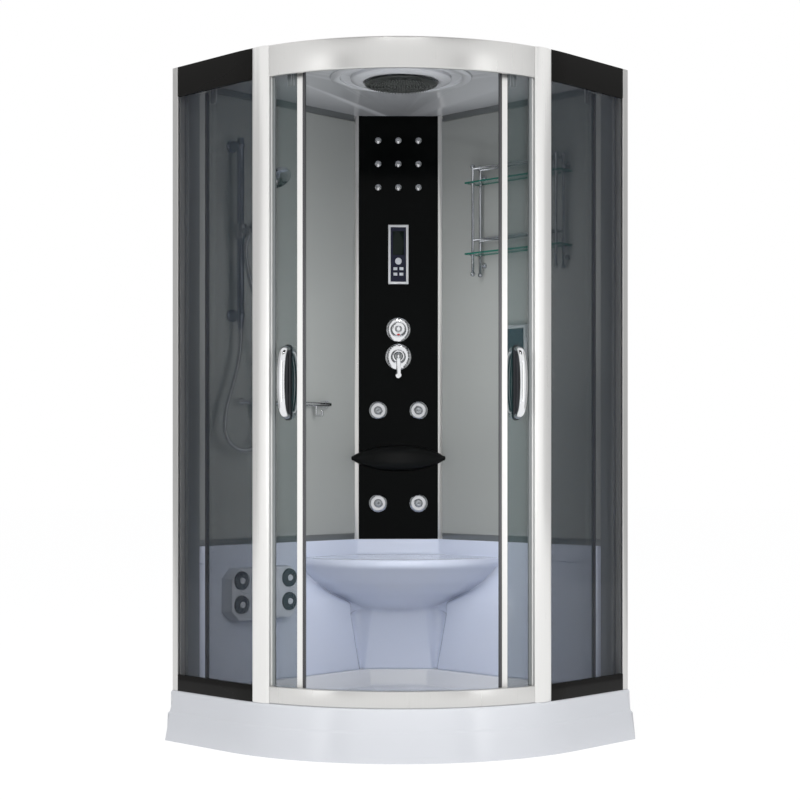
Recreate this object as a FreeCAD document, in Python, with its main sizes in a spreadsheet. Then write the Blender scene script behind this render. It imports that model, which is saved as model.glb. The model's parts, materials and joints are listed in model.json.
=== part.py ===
"""Corner shower cabin: quadrant tray, curved front with two sliding doors, and a black control column."""
import FreeCAD, Part
import math
import os
import re
import Sketcher

V = FreeCAD.Vector
X_AXIS = V(1, 0, 0)
Y_AXIS = V(0, 1, 0)
Z_AXIS = V(0, 0, 1)
ROOT_TWO = math.sqrt(2)

# Driving sizes, in millimetres and degrees. Heights are measured from the ground.
SIZES = {
    # Plan and heights of the whole cabin
    "frame_lip": 28,
    "frame_radius": 687,
    "arc_offset_share": 0.414847,
    "tray_height": 148,
    "moulding_height": 579,
    "cabin_height": 2020,
    "ceiling_drop": 39,
    "overrun": 3,
    "running_gap": 0.3,
    # Tray
    "tray_wall": 6,
    "foot_tier_rise": 82,
    "tier_step_rise": 90,
    "rim_curve_rise": 139,
    "rim_crest_rise": 145,
    "foot_tier_inset": 9,
    "tier_step_inset": 13,
    "rim_curve_inset": 20,
    "rim_crest_inset": 22,
    "rim_top_inset": 26,
    "floor_height": 95,
    "basin_setback": 50,
    "basin_wall_inset": 62,
    "basin_corner_cut": 262,
    "basin_slope": 14,
    # Tray frame, feet and waste
    "tube_size": 25,
    "frame_near": 84,
    "frame_far_setback": 130,
    "frame_return_step": 95,
    "brace_share": 0.48,
    "foot_pad_radius": 22,
    "foot_pad_height": 9,
    "foot_stud_radius": 6,
    "drain_offset": 89.42,
    "drain_hole_radius": 45,
    "drain_flange_radius": 56,
    "drain_flange_height": 3,
    "drain_body_radius": 44,
    "drain_body_base": 45,
    "drain_well_radius": 40,
    "drain_well_depth": 24,
    "waste_pipe_radius": 20,
    "waste_pipe_bore": 18,
    "waste_pipe_end": 5,
    "grate_radius": 54,
    "grate_thickness": 4,
    "grate_slot_length": 44,
    "grate_slot_width": 4,
    "grate_slot_pitch": 11,
    "grate_skirt_radius": 38,
    "grate_skirt_height": 12,
    # Lower moulding with the seat
    "moulding_back": 20,
    "moulding_face": 38,
    "moulding_skin": 6,
    "moulding_root": 5,
    "upstand_rise": 50,
    "seat_reach_share": 0.49,
    "seat_nose_share": 0.52,
    "seat_lip": 24,
    "bowl_rise": 183,
    "pedestal_top_half_width": 89,
    "pedestal_top_distance": 187,
    "pedestal_foot_half_width": 124,
    "pedestal_foot_distance": 181,
    "pedestal_wing_reach": 300,
    "skin_slant": 1.5,
    # Wall panels, trims and end profiles
    "glass_thickness": 5,
    "wall_back": 28,
    "trim_back": 24,
    "trim_front": 38,
    "trim_height": 20,
    "trim_slot": 10,
    "trim_start": 243,
    "glass_start": 223,
    "channel_setback": 100,
    "channel_back": 20,
    "channel_front": 40,
    "upright_depth": 28,
    "upright_width": 25,
    # Control column
    "column_distance": 189,
    "panel_width": 262,
    "panel_thickness": 5,
    "strip_proud": 3,
    "strip_depth": 12,
    "fitting_gap": 0.5,
    # Front frame
    "foot_rail_height": 49,
    "head_rail_height": 89,
    "band_depth": 13,
    "glass_setback": 4,
    "glass_seat": 12,
    "post_angle": 36,
    "post_width": 62,
    "post_depth": 12,
    "post_bulge": 5,
    "post_seat_gap": 0.4,
    "post_lip_reach": 11,
    "post_lip_depth": 8,
    "post_lip_overlap": 4,
    "rail_wall": 3,
    "head_rail_depth": 35,
    "head_rail_hem": 9,
    "foot_rail_depth": 24,
    "track_angle": 65.4,
    "track_setback": 14,
    "track_depth": 12,
    "track_drop": 36,
    "track_wall": 2,
    "guide_depth": 17,
    "guide_height": 12,
    # Sliding doors
    "door_setback": 28,
    "door_lead_angle": 24.7,
    "door_trail_angle": 62.7,
    "door_foot_gap": 17,
    "door_head_gap": 39,
    "stile_width": 17,
    "stile_proud": 4,
    "stile_seat": 9,
    "seal_width": 6,
    "seal_proud": 2,
    "roller_radius": 11,
    "roller_width": 6,
    "roller_setback": 17,
    "roller_inset_angle": 3.8,
    "axle_radius": 2.5,
    "axle_gap": 0.05,
    "collar_radius": 5,
    "bracket_width": 34,
    "bracket_thickness": 5,
    "bracket_drop": 38,
    "bracket_rise": 26,
    "guide_block_width": 26,
    "guide_block_rise": 24,
    "guide_foot_depth": 10,
    "guide_foot_gap": 2.4,
    "handle_angle": 29.6,
    "handle_centre_share": 0.525248,
    "handle_length": 216,
    "handle_depth": 42,
    "handle_width": 22,
    "handle_strap": 12,
    "handle_pad_width": 24,
    "handle_pad_thickness": 4,
    # Canopy and rain head
    "canopy_thickness": 5,
    "rain_setback": 335.05,
    "flange_radius": 211,
    "flange_width": 29,
    "flange_drop": 6,
    "ring_radius": 150,
    "ring_width": 38,
    "ring_drop": 17,
    "ring_crown": 6,
    "disc_radius": 108,
    "disc_drop": 24,
    "disc_thickness": 6,
    "disc_crown": 5,
    "disc_neck_radius": 15,
    # Jets on the column
    "small_jet_radius": 10.5,
    "small_jet_height": 5,
    "small_jet_nose": 5,
    "small_jet_shank": 6,
    "small_jet_depth": 18,
    "small_jet_pitch": 67,
    "small_jet_drop": 82,
    "small_jet_row": 77.5,
    "jet_flange_radius": 30,
    "jet_flange_height": 9,
    "jet_crown_radius": 24,
    "jet_shank_radius": 21,
    "jet_shank_depth": 26,
    "jet_ball_radius": 14,
    "jet_ball_rise": 5,
    "jet_ball_flat": 10,
    "jet_mouth_radius": 3,
    "jet_mouth_depth": 9,
    "jet_feed_radius": 7,
    "jet_high_share": 0.303852,
    "jet_low_share": 0.084879,
    # Keypad
    "keypad_width": 67,
    "keypad_length": 196,
    "keypad_depth": 13,
    "keypad_share": 0.671897,
    "keypad_border": 8,
    "keypad_recess": 2,
    "window_width": 36,
    "window_length": 78,
    "window_depth": 3,
    "window_rise": 38,
    "ring_key_radius": 11,
    "ring_key_drop": 22,
    "small_key_width": 13,
    "small_key_height": 9,
    "small_key_pitch": 20,
    "small_key_drop": 47,
    "small_key_step": 18,
    "key_proud": 1.6,
    "key_body": 6,
    "key_travel": 0.8,
    # Diverter and mixer
    "diverter_share": 0.495007,
    "valve_pitch": 90,
    "diverter_plate_radius": 40,
    "mixer_plate_radius": 43,
    "plate_thickness": 5,
    "plate_flat_radius": 30,
    "valve_hole_radius": 18,
    "spindle_radius": 8,
    "knob_radius": 27,
    "knob_nose_radius": 22,
    "knob_depth": 30,
    "knob_boss_radius": 11,
    "knob_boss_height": 4,
    "cap_radius": 25,
    "cap_depth": 22,
    "cap_nose_radius": 19,
    "lever_ball_radius": 15,
    "lever_rise": 9,
    "lever_length": 73,
    "lever_width": 14,
    "lever_tip_width": 19,
    "lever_thickness": 9,
    "lever_forward": 3,
    # Pipework behind the column
    "manifold_depth": 46,
    "riser_pipe_radius": 9,
    "manifold_radius": 15,
    "manifold_half_width": 60,
    "branch_radius": 6,
    "valve_body_radius": 16,
    "inlet_offset": 42,
    "inlet_radius": 10.5,
    "inlet_length": 38,
    "inlet_collar_radius": 13.5,
    "inlet_collar_rise": 3,
    "roof_pipe_rise": 11,
    # Backrest pad
    "pad_half_width": 170,
    "pad_height": 87,
    "pad_share": 0.191155,
    "pad_depth": 46,
    "pad_tip_depth": 6,
    "pad_seat_half_width": 116,
    "pad_clearance": 1.2,
    # Glass shelf on the right wall
    "shelf_start_share": 0.623693,
    "shelf_length": 390,
    "shelf_back": 42,
    "shelf_depth": 62,
    "shelf_low_share": 0.657632,
    "shelf_pitch": 228,
    "shelf_rail_rise": 46,
    "shelf_rod_radius": 4.5,
    "shelf_rod_inset": 24,
    "shelf_rod_edge": 13,
    "shelf_rod_below": 63,
    "shelf_rod_above": 53,
    "shelf_ball_radius": 8,
    "shelf_rail_radius": 3,
    "shelf_cross_radius": 2.2,
    "shelf_collar_radius": 8,
    "shelf_collar_height": 5,
    "shelf_mount_radius": 9,
    "shelf_stem_radius": 4,
    "shelf_mount_inset": 30,
    # Riser rail, slider and handset on the left wall
    "rail_place_share": 0.807976,
    "rail_standoff": 45,
    "rail_tube_radius": 11,
    "rail_centre_share": 0.689372,
    "rail_half_length": 282.5,
    "rail_mount_radius": 14,
    "rail_mount_rise": 22,
    "outlet_radius": 9,
    "outlet_drop": 22,
    "slider_rise": 278,
    "slider_radius": 19,
    "slider_length": 46,
    "slider_gap": 0.1,
    "slider_boss_radius": 10,
    "cup_offset": 52,
    "cup_radius": 16,
    "cup_half_height": 15,
    "cup_bore": 12,
    "cup_bore_gap": 0.3,
    "handset_lean": 38,
    "handset_root": 11,
    "handset_neck": 150,
    "handset_grip_radius": 11.5,
    "handset_tip_radius": 13,
    "handset_reach": 190,
    "handset_head_radius": 40,
    "handset_head_depth": 24,
    "handset_back_radius": 22,
    "handset_head_turn": 105,
    # Hose
    "hose_radius": 7,
    "hose_grid": 100,
    # Towel rail with hooks, left wall
    "hook_rail_share": 0.519164,
    "hook_rail_length": 390,
    "hook_height_share": 0.315264,
    "hook_rail_standoff": 24,
    "hook_rail_radius": 7,
    "hook_rail_mount": 12,
    "hook_rail_inset": 14,
    "hook_first": 62,
    "hook_pitch": 133,
    "hook_drop": 38,
    "hook_radius": 14,
    "hook_wire": 3.5,
    # Foot massager, lower left wing
    "massager_offset": 182,
    "massager_width": 280,
    "massager_drop": 233,
    "massager_height": 162,
    "massager_depth": 44,
    "massager_corner": 30,
    "massager_bevel": 4,
    "massager_wheel_radius": 28,
    "massager_wheel_depth": 15,
    "massager_wheel_proud": 6,
    "massager_hub_radius": 9,
    "massager_hub_depth": 3,
    "massager_half_pitch": 98,
    "massager_wheel_rise": 51,
    "massager_wheel_row": 74,
    "massager_pin_radius": 4,
    "massager_button_half_width": 54,
    "massager_button_radius": 21,
    "massager_button_proud": 3,
    # Soap box on the right wall
    "soap_start_share": 0.543554,
    "soap_width": 103,
    "soap_depth": 45,
    "soap_centre_share": 0.432953,
    "soap_height": 162,
    "soap_border": 12,
    "soap_window_depth": 3,
    "soap_tray_height": 36,
    "soap_tray_wall": 4,
}

# Sizes that follow from the driving ones, worked out in the sheet itself
DERIVED = {
    # Plan
    "arc_offset": "frame_radius * arc_offset_share",
    "tray_side": "arc_offset + frame_radius + frame_lip",
    "basin_radius": "frame_radius - basin_setback",
    "frame_far": "tray_side - frame_far_setback",
    "frame_return": "arc_offset + frame_return_step",
    "brace_reach": "tray_side * brace_share",
    "drain_distance": "(frame_far + frame_near) / sqrt(2) + drain_offset",
    "rain_distance": "arc_offset * sqrt(2) + frame_radius - rain_setback",
    "channel_start": "tray_side - channel_setback",
    "seat_reach": "tray_side * seat_reach_share",
    "seat_nose": "tray_side * seat_nose_share",
    "wall_run": "channel_start - glass_start",
    "massager_centre": "seat_reach + massager_offset",
    "shelf_start": "glass_start + (wall_run - shelf_length) * shelf_start_share",
    "hook_rail_start": "glass_start + (wall_run - hook_rail_length) * hook_rail_share",
    "soap_start": "glass_start + (wall_run - soap_width) * soap_start_share",
    "rail_place": "glass_start + wall_run * rail_place_share",
    # Heights of the seat and of the pieces on the lower moulding
    "seat_height": "moulding_height - upstand_rise",
    "pedestal_top": "seat_height - bowl_rise",
    "massager_base": "moulding_height - massager_drop",
    "massager_wheel_low": "massager_base + massager_wheel_rise",
    "massager_wheel_high": "massager_wheel_low + massager_wheel_row",
    # Heights between the lower moulding and the ceiling
    "ceiling_height": "cabin_height - ceiling_drop",
    "column_rise": "ceiling_height - moulding_height",
    "handle_centre": "cabin_height * handle_centre_share",
    "small_jet_high": "ceiling_height - small_jet_drop",
    "small_jet_middle": "small_jet_high - small_jet_row",
    "small_jet_low": "small_jet_middle - small_jet_row",
    "jet_high": "moulding_height + column_rise * jet_high_share",
    "jet_low": "moulding_height + column_rise * jet_low_share",
    "keypad_centre": "moulding_height + column_rise * keypad_share",
    "diverter_height": "moulding_height + column_rise * diverter_share",
    "mixer_height": "diverter_height - valve_pitch",
    "pad_centre": "moulding_height + column_rise * pad_share",
    "shelf_low": "moulding_height + column_rise * shelf_low_share",
    "shelf_high": "shelf_low + shelf_pitch",
    "shelf_rod_base": "shelf_low - shelf_rod_below",
    "shelf_rod_top": "shelf_high + shelf_rod_above",
    "rail_base": "moulding_height + column_rise * rail_centre_share - rail_half_length",
    "rail_top": "rail_base + rail_half_length * 2",
    "slider_height": "rail_base + slider_rise",
    "hook_rail_height": "moulding_height + column_rise * hook_height_share",
    "soap_base": "moulding_height + column_rise * soap_centre_share - soap_height / 2",
}

NAME_WORD = re.compile("[a-z][a-z_]*")

doc = FreeCAD.newDocument("shower_cabin")
sheet = doc.addObject("Spreadsheet::Sheet", "dims")
cells = list(SIZES.items()) + [(alias, "=" + formula) for alias, formula in DERIVED.items()]
for row, (alias, value) in enumerate(cells, start=1):
    sheet.set("A%d" % row, alias)
    sheet.setAlias("B%d" % row, alias)
for row, (alias, value) in enumerate(cells, start=1):
    sheet.set("B%d" % row, str(value))
doc.recompute()

# Lengths that several pieces share, as text for expressions
FRAME_SIDE = "(tray_side - frame_lip)"
ARC_OFFSET = "(tray_side - frame_lip - frame_radius)"
CORNER_Y = "((%s * sqrt(2) + frame_radius + frame_lip) / 2)" % ARC_OFFSET
WALL_FACE = "(wall_back + glass_thickness)"
PARTS = []


def on_sheet(text):
    """Point every named size in an expression at the spreadsheet."""
    named = {*SIZES, *DERIVED}
    return NAME_WORD.sub(lambda word: "dims." + word.group() if word.group() in named else word.group(), text)


def bind(obj, **texts):
    """Bind properties of an object to expressions in named sizes."""
    for prop, text in texts.items():
        obj.setExpression(prop, on_sheet(text))


def place(obj, x="0", y="0", z="0"):
    """Bind an object's place to expressions in named sizes."""
    for letter, text in zip("xyz", (x, y, z)):
        if text != "0":
            obj.setExpression("Placement.Base." + letter, on_sheet(text))
    return obj


TURNS = {
    "z": FreeCAD.Rotation(),
    "-z": FreeCAD.Rotation(X_AXIS, 180),
    "x": FreeCAD.Rotation(Y_AXIS, 90),
    "y": FreeCAD.Rotation(X_AXIS, -90),
    "-y": FreeCAD.Rotation(X_AXIS, 90),
}


def turn(obj, direction):
    """Turn an object so that its own Z points along a named direction."""
    obj.Placement = FreeCAD.Placement(V(), TURNS[direction])
    return obj


def box(length, width, height, x="0", y="0", z="0"):
    obj = doc.addObject("Part::Box", "block")
    bind(obj, Length=length, Width=width, Height=height)
    return place(obj, x, y, z)


def rod(radius, height, x="0", y="0", z="0", direction="z"):
    obj = turn(doc.addObject("Part::Cylinder", "rod"), direction)
    bind(obj, Radius=radius, Height=height)
    return place(obj, x, y, z)


def cone(base, top, height, x="0", y="0", z="0", direction="z"):
    obj = turn(doc.addObject("Part::Cone", "cone"), direction)
    bind(obj, Radius1=base, Radius2=top, Height=height)
    return place(obj, x, y, z)


def ball(radius, x="0", y="0", z="0"):
    obj = doc.addObject("Part::Sphere", "ball")
    bind(obj, Radius=radius)
    return place(obj, x, y, z)


def fuse(pieces):
    obj = doc.addObject("Part::MultiFuse", "joined")
    obj.Shapes = pieces
    obj.Refine = True
    return obj


def cut(base, tool):
    obj = doc.addObject("Part::Cut", "cut")
    obj.Base = base
    obj.Tool = tool
    return obj


def group(pieces):
    obj = doc.addObject("Part::Compound", "group")
    obj.Links = pieces
    return obj


def mirrored(source):
    """The same piece on the other side of the cabin's middle plane."""
    obj = doc.addObject("Part::Mirroring", "mirror")
    obj.Source = source
    obj.Normal = X_AXIS
    return obj


def part(label, obj):
    """Name a finished sub-part, which also names its file."""
    obj.Label = label
    PARTS.append(obj)
    return obj


def shaped(shape):
    obj = doc.addObject("Part::Feature", "shape")
    obj.Shape = shape
    return obj


def framed(obj):
    """Wrap a piece whose own place is bound, so that it can be placed once more."""
    return group([obj]) if obj.ExpressionEngine else obj


def in_corner(obj):
    """Stand a piece in the corner frame: x runs along the left wall, y along the right wall."""
    outer = framed(obj)
    outer.Placement = FreeCAD.Placement(V(), FreeCAD.Rotation(Z_AXIS, 225))
    return place(outer, y=CORNER_Y)


def on_column(obj):
    """Stand a piece on the column: its face is y = 0 and the room behind it is +y."""
    return place(framed(obj), y=CORNER_Y + " - column_distance")


def profile(body, role, points):
    """A closed sketch of straight lines, each corner bound to named sizes."""
    sketch = body.newObject("Sketcher::SketchObject", "profile")
    datum = next(feature for feature in body.Origin.OriginFeatures if feature.Role == role)
    sketch.AttachmentSupport = [(datum, "")]
    sketch.MapMode = "FlatFace"
    count = len(points)
    seeds = [V(k, k * k, 0) for k in range(count)]
    for k in range(count):
        sketch.addGeometry(Part.LineSegment(seeds[k], seeds[(k + 1) % count]), False)
    for k in range(count):
        sketch.addConstraint(Sketcher.Constraint("Coincident", k, 2, (k + 1) % count, 1))
    for k, (across, along) in enumerate(points):
        for kind, axis, text in (("DistanceX", -2, across), ("DistanceY", -1, along)):
            if text == "0":
                sketch.addConstraint(Sketcher.Constraint("PointOnObject", k, 1, axis))
            else:
                datum_index = sketch.addConstraint(Sketcher.Constraint(kind, k, 1, 1.0))
                sketch.setExpression("Constraints[%d]" % datum_index, on_sheet(text))
    return sketch


def turned(points):
    """A solid of revolution about Z from a profile of radius and height."""
    body = doc.addObject("PartDesign::Body", "turned")
    sketch = profile(body, "XZ_Plane", points)
    revolution = body.newObject("PartDesign::Revolution", "revolution")
    revolution.Profile = sketch
    revolution.ReferenceAxis = (sketch, ["V_Axis"])
    revolution.Angle = 360
    return body


def extruded(points, height):
    """A prism from the ground plane upwards."""
    body = doc.addObject("PartDesign::Body", "extruded")
    pad = body.newObject("PartDesign::Pad", "pad")
    pad.Profile = profile(body, "XY_Plane", points)
    bind(pad, Length=height)
    return body


# Plan geometry of the curved front, read from the sheet, in the corner frame
arc_offset = sheet.tray_side - sheet.frame_lip - sheet.frame_radius
frame_side = sheet.tray_side - sheet.frame_lip
arc_centre = V(arc_offset, arc_offset, 0)


def on_arc(radius, angle, height=0):
    """A point at that radius from the doors' axis, at an angle left of the front."""
    turned_angle = math.radians(45 - angle)
    return arc_centre + V(radius * math.cos(turned_angle), radius * math.sin(turned_angle), height)


def arc_edge(radius, start, end, height=0):
    middle = on_arc(radius, (start + end) / 2, height)
    return Part.Arc(on_arc(radius, start, height), middle, on_arc(radius, end, height)).toShape()


def line(first, second):
    return Part.LineSegment(first, second).toShape()


def prism(edges, low, high):
    """A solid on a closed plan outline between two heights."""
    face = Part.Face(Part.Wire(edges))
    face.translate(V(0, 0, low))
    return face.extrude(V(0, 0, high - low))


def polygon_prism(points, low, high):
    return prism([line(a, b) for a, b in zip(points, points[1:] + points[:1])], low, high)


def sector(outer, inner, start, end, low, high):
    """A curved bar about the doors' axis between two angles from the front."""
    return prism([
        arc_edge(outer, start, end),
        line(on_arc(outer, end), on_arc(inner, end)),
        arc_edge(inner, end, start),
        line(on_arc(inner, start), on_arc(outer, start)),
    ], low, high)


def side_run(outer_setback, inner_setback, start, wall_end, low, high):
    """A bar that follows the frame from the left post round to the wall."""
    outer = sheet.frame_radius - outer_setback
    inner = sheet.frame_radius - inner_setback
    outer_line = frame_side - outer_setback
    inner_line = frame_side - inner_setback
    return prism([
        arc_edge(outer, start, 45),
        line(V(outer_line, arc_offset, 0), V(outer_line, wall_end, 0)),
        line(V(outer_line, wall_end, 0), V(inner_line, wall_end, 0)),
        line(V(inner_line, wall_end, 0), V(inner_line, arc_offset, 0)),
        arc_edge(inner, 45, start),
        line(on_arc(inner, start), on_arc(outer, start)),
    ], low, high)


def both_sides(shape):
    """A piece and its mirror image, in the corner frame."""
    return [shape, shape.mirror(V(), V(1, -1, 0))]


def degrees_of(length, radius):
    return math.degrees(length / radius)


# Tray: one acrylic moulding with a two-tier skirt, a flat rim and a basin
def tray_outline(inset, height, wall=0):
    side = sheet.tray_side - inset
    radius = side - arc_offset
    start = V(side, arc_offset, height)
    end = V(arc_offset, side, height)
    middle = V(arc_offset, arc_offset, height) + V(1, 1, 0) * (radius / ROOT_TWO)
    return Part.Wire([
        line(V(wall, wall, height), V(side, wall, height)),
        line(V(side, wall, height), start),
        Part.Arc(start, middle, end).toShape(),
        line(end, V(wall, side, height)),
        line(V(wall, side, height), V(wall, wall, height)),
    ])


def basin_outline(shrink, height):
    radius = sheet.basin_radius - shrink
    wall = sheet.basin_wall_inset + shrink
    corner = sheet.basin_corner_cut + shrink * ROOT_TWO - wall
    end = arc_offset + math.sqrt(radius ** 2 - (arc_offset - wall) ** 2)
    middle = V(arc_offset, arc_offset, height) + V(1, 1, 0) * (radius / ROOT_TWO)
    return Part.Wire([
        line(V(corner, wall, height), V(end, wall, height)),
        Part.Arc(V(end, wall, height), middle, V(wall, end, height)).toShape(),
        line(V(wall, end, height), V(wall, corner, height)),
        line(V(wall, corner, height), V(corner, wall, height)),
    ])


def make_tray():
    levels = [
        (0, 0),
        (sheet.foot_tier_inset, sheet.foot_tier_rise),
        (sheet.tier_step_inset, sheet.tier_step_rise),
        (sheet.rim_curve_inset, sheet.rim_curve_rise),
        (sheet.rim_crest_inset, sheet.rim_crest_rise),
        (sheet.rim_top_inset, sheet.tray_height),
    ]
    outer = Part.makeLoft([tray_outline(inset, height) for inset, height in levels], True, True)
    floor = sheet.floor_height
    slope = sheet.basin_slope
    skin = sheet.tray_wall
    over = sheet.overrun
    basin = Part.makeLoft([basin_outline(slope, floor), basin_outline(0, sheet.tray_height)], True, True)
    basin = basin.fuse(Part.Face(basin_outline(0, sheet.tray_height)).extrude(V(0, 0, over)))
    bowl = Part.makeLoft([basin_outline(slope - skin, floor - skin), basin_outline(-skin, sheet.tray_height)],
                         True, True)
    inside = Part.makeLoft([
        tray_outline(skin, 0, skin),
        tray_outline(sheet.rim_curve_inset + skin, sheet.tray_height - skin, skin),
    ], True, True)
    inside = inside.fuse(Part.Face(tray_outline(skin, 0, skin)).extrude(V(0, 0, -over)))
    shell = outer.cut(inside.cut(bowl)).cut(basin)
    drain = drain_point(floor - skin - over)
    shell = shell.cut(Part.makeCylinder(sheet.drain_hole_radius, skin + over * 2, drain))
    return shell.removeSplitter()


def drain_point(height):
    """Where the waste sits, on the cabin's middle plane."""
    reach = sheet.drain_distance / ROOT_TWO
    return V(reach, reach, height)


part("tray_shell", in_corner(shaped(make_tray())))


# Welded steel frame under the tray floor, on seven levelling feet
def tube_line(first, second):
    """A square tube lying under the floor between two plan points."""
    along = second - first
    across = V(-along.y, along.x, 0).normalize() * (sheet.tube_size / 2)
    extend = along.normalize() * (sheet.tube_size / 2)
    top = sheet.floor_height - sheet.tray_wall
    corners = [first - extend - across, second + extend - across,
               second + extend + across, first - extend + across]
    return polygon_prism(corners, top - sheet.tube_size, top)


def frame_corners():
    near, far, back = sheet.frame_near, sheet.frame_far, sheet.frame_return
    return [V(near, near, 0), V(far, near, 0), V(far, back, 0), V(back, far, 0), V(near, far, 0)]


def foot_places():
    brace = sheet.brace_reach
    return frame_corners() + [V(brace, sheet.frame_near, 0), V(sheet.frame_near, brace, 0)]


def make_tray_frame():
    corners = frame_corners()
    tubes = [tube_line(a, b) for a, b in zip(corners, corners[1:] + corners[:1])]
    near = sheet.frame_near
    for reach in (sheet.frame_far, sheet.brace_reach):
        tubes.append(tube_line(V(reach, near, 0), V(near, reach, 0)))
    frame = tubes[0]
    for tube in tubes[1:]:
        frame = frame.fuse(tube)
    return frame.removeSplitter()


part("tray_frame", in_corner(shaped(make_tray_frame())))

FOOT_X = ["frame_near", "frame_far", "frame_far", "frame_return", "frame_near", "brace_reach", "frame_near"]
FOOT_Y = ["frame_near", "frame_near", "frame_return", "frame_far", "frame_far", "frame_near", "brace_reach"]
feet = []
for foot_x, foot_y in zip(FOOT_X, FOOT_Y):
    foot_pad = cone("foot_pad_radius", "foot_stud_radius * 2", "foot_pad_height", foot_x, foot_y)
    stud_top = "floor_height - tray_wall - tube_size"
    stud = rod("foot_stud_radius", stud_top, foot_x, foot_y)
    feet.append(fuse([foot_pad, stud]))
part("levelling_feet", in_corner(group(feet)))

# Waste: a trap hung in the floor, with a spigot down into the room's waste, and a lift-off grate
drain_y = CORNER_Y + " - drain_distance"
trap_body = fuse([
    rod("drain_flange_radius", "drain_flange_height", z="floor_height"),
    rod("drain_body_radius", "floor_height + drain_flange_height - drain_body_base", z="drain_body_base"),
    rod("waste_pipe_radius", "drain_body_base - waste_pipe_end", z="waste_pipe_end"),
])
trap_hollow = fuse([
    rod("drain_well_radius", "drain_well_depth + drain_flange_height + overrun",
        z="floor_height - drain_well_depth"),
    rod("waste_pipe_bore", "floor_height - waste_pipe_end + overrun", z="waste_pipe_end - overrun"),
])
part("waste_trap", place(cut(trap_body, trap_hollow), y=drain_y))

grate_z = "floor_height + drain_flange_height"
grate_top = rod("grate_radius", "grate_thickness", z=grate_z)
grate_skirt = cut(
    rod("grate_skirt_radius", "grate_skirt_height", z=grate_z + " - grate_skirt_height"),
    rod("grate_skirt_radius - grate_thickness", "grate_skirt_height + overrun",
        z=grate_z + " - grate_skirt_height - overrun"),
)
slots = [
    box("grate_slot_length", "grate_slot_width", "grate_thickness + overrun * 2", x="-grate_slot_length / 2",
        y="%d * grate_slot_pitch - grate_slot_width / 2" % step, z=grate_z + " - overrun")
    for step in range(-2, 3)
]
part("waste_grate", place(cut(fuse([grate_top, grate_skirt]), fuse(slots)), y=drain_y))


# Lower moulding: wing walls, chamfered pedestal, bowl and seat in one acrylic skin
BOWL_HEIGHT_SHARES = [0, 0.18, 0.4, 0.65, 0.9, 1]
BOWL_REACH_SHARES = [0.4, 0.54, 0.72, 0.86, 0.96, 1]
BOWL_NOSE_SHARES = [0.4, 0.54, 0.7, 0.84, 0.95, 1]


def bowl_outline(reach, nose, height):
    """A corner slice of the bowl: two straight sides and a bowed front."""
    root = sheet.moulding_back + sheet.moulding_root
    corner, left, right = V(root, root, height), V(reach, root, height), V(root, reach, height)
    middle = V(nose / ROOT_TWO, nose / ROOT_TWO, height)
    return Part.Wire([line(corner, left), Part.Arc(left, middle, right).toShape(), line(right, corner)])


def pedestal_outline(half_width, distance, wing, height):
    root = sheet.moulding_back + sheet.moulding_root
    face_x = (distance + half_width) / ROOT_TWO
    face_y = (distance - half_width) / ROOT_TWO
    points = [V(root, root, height), V(wing, root, height), V(face_x, face_y, height),
              V(face_y, face_x, height), V(root, wing, height)]
    return Part.makePolygon(points + points[:1])


def moulding_bulk(skin, low, top_cut):
    """The moulding as a filled block, its show faces moved back by a skin."""
    back = sheet.moulding_back - (sheet.overrun if skin else 0)
    face = sheet.moulding_face - skin
    end = sheet.channel_start - skin
    wings = polygon_prism([V(back, back, 0), V(end, back, 0), V(end, face, 0), V(face, face, 0),
                           V(face, end, 0), V(back, end, 0)], low, sheet.moulding_height - top_cut)
    slant = skin * sheet.skin_slant
    pedestal = Part.makeLoft([
        pedestal_outline(sheet.pedestal_foot_half_width - skin / 2, sheet.pedestal_foot_distance - skin,
                         sheet.pedestal_wing_reach - slant, low),
        pedestal_outline(sheet.pedestal_top_half_width - skin / 2, sheet.pedestal_top_distance - skin,
                         sheet.pedestal_wing_reach - slant, sheet.pedestal_top + sheet.seat_lip),
    ], True, True)
    rise = sheet.seat_height - sheet.seat_lip - sheet.pedestal_top
    slices = [
        bowl_outline(sheet.seat_reach * reach - slant, sheet.seat_nose * nose - slant,
                     sheet.pedestal_top + rise * height + skin)
        for height, reach, nose in zip(BOWL_HEIGHT_SHARES, BOWL_REACH_SHARES, BOWL_NOSE_SHARES)
    ]
    bowl = Part.makeLoft(slices, True, False)
    seat = Part.Face(slices[-1]).extrude(V(0, 0, sheet.seat_lip - skin * 2))
    chamfer = sheet.column_distance * ROOT_TWO - skin * ROOT_TWO
    root = sheet.moulding_back + sheet.moulding_root
    upstand = polygon_prism([V(root, root, 0), V(chamfer - root, root, 0), V(root, chamfer - root, 0)],
                            sheet.pedestal_top, sheet.moulding_height - top_cut)
    return wings.fuse([pedestal, bowl, seat, upstand])


def make_lower_moulding():
    skin = sheet.moulding_skin
    outside = moulding_bulk(0, sheet.tray_height, 0)
    inside = moulding_bulk(skin, sheet.tray_height - sheet.overrun, skin)
    return outside.cut(inside).removeSplitter()


part("lower_moulding", in_corner(shaped(make_lower_moulding())))


# Wall panels of tempered glass with their trims and end profiles
glass_base = "(moulding_height + trim_height - trim_slot)"
glass_rise = "(ceiling_height - trim_height + trim_slot - %s)" % glass_base
glass_run = "(channel_start + trim_slot - glass_start)"
part("wall_glasses", in_corner(group([
    box(glass_run, "glass_thickness", glass_rise, "glass_start", "wall_back", glass_base),
    box("glass_thickness", glass_run, glass_rise, "wall_back", "glass_start", glass_base),
])))


def wall_bar(along, across, height, start, back, base, right):
    """A straight bar on one wall; the right wall swaps the two plan directions."""
    if right:
        return box(across, along, height, back, start, base)
    return box(along, across, height, start, back, base)


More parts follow.
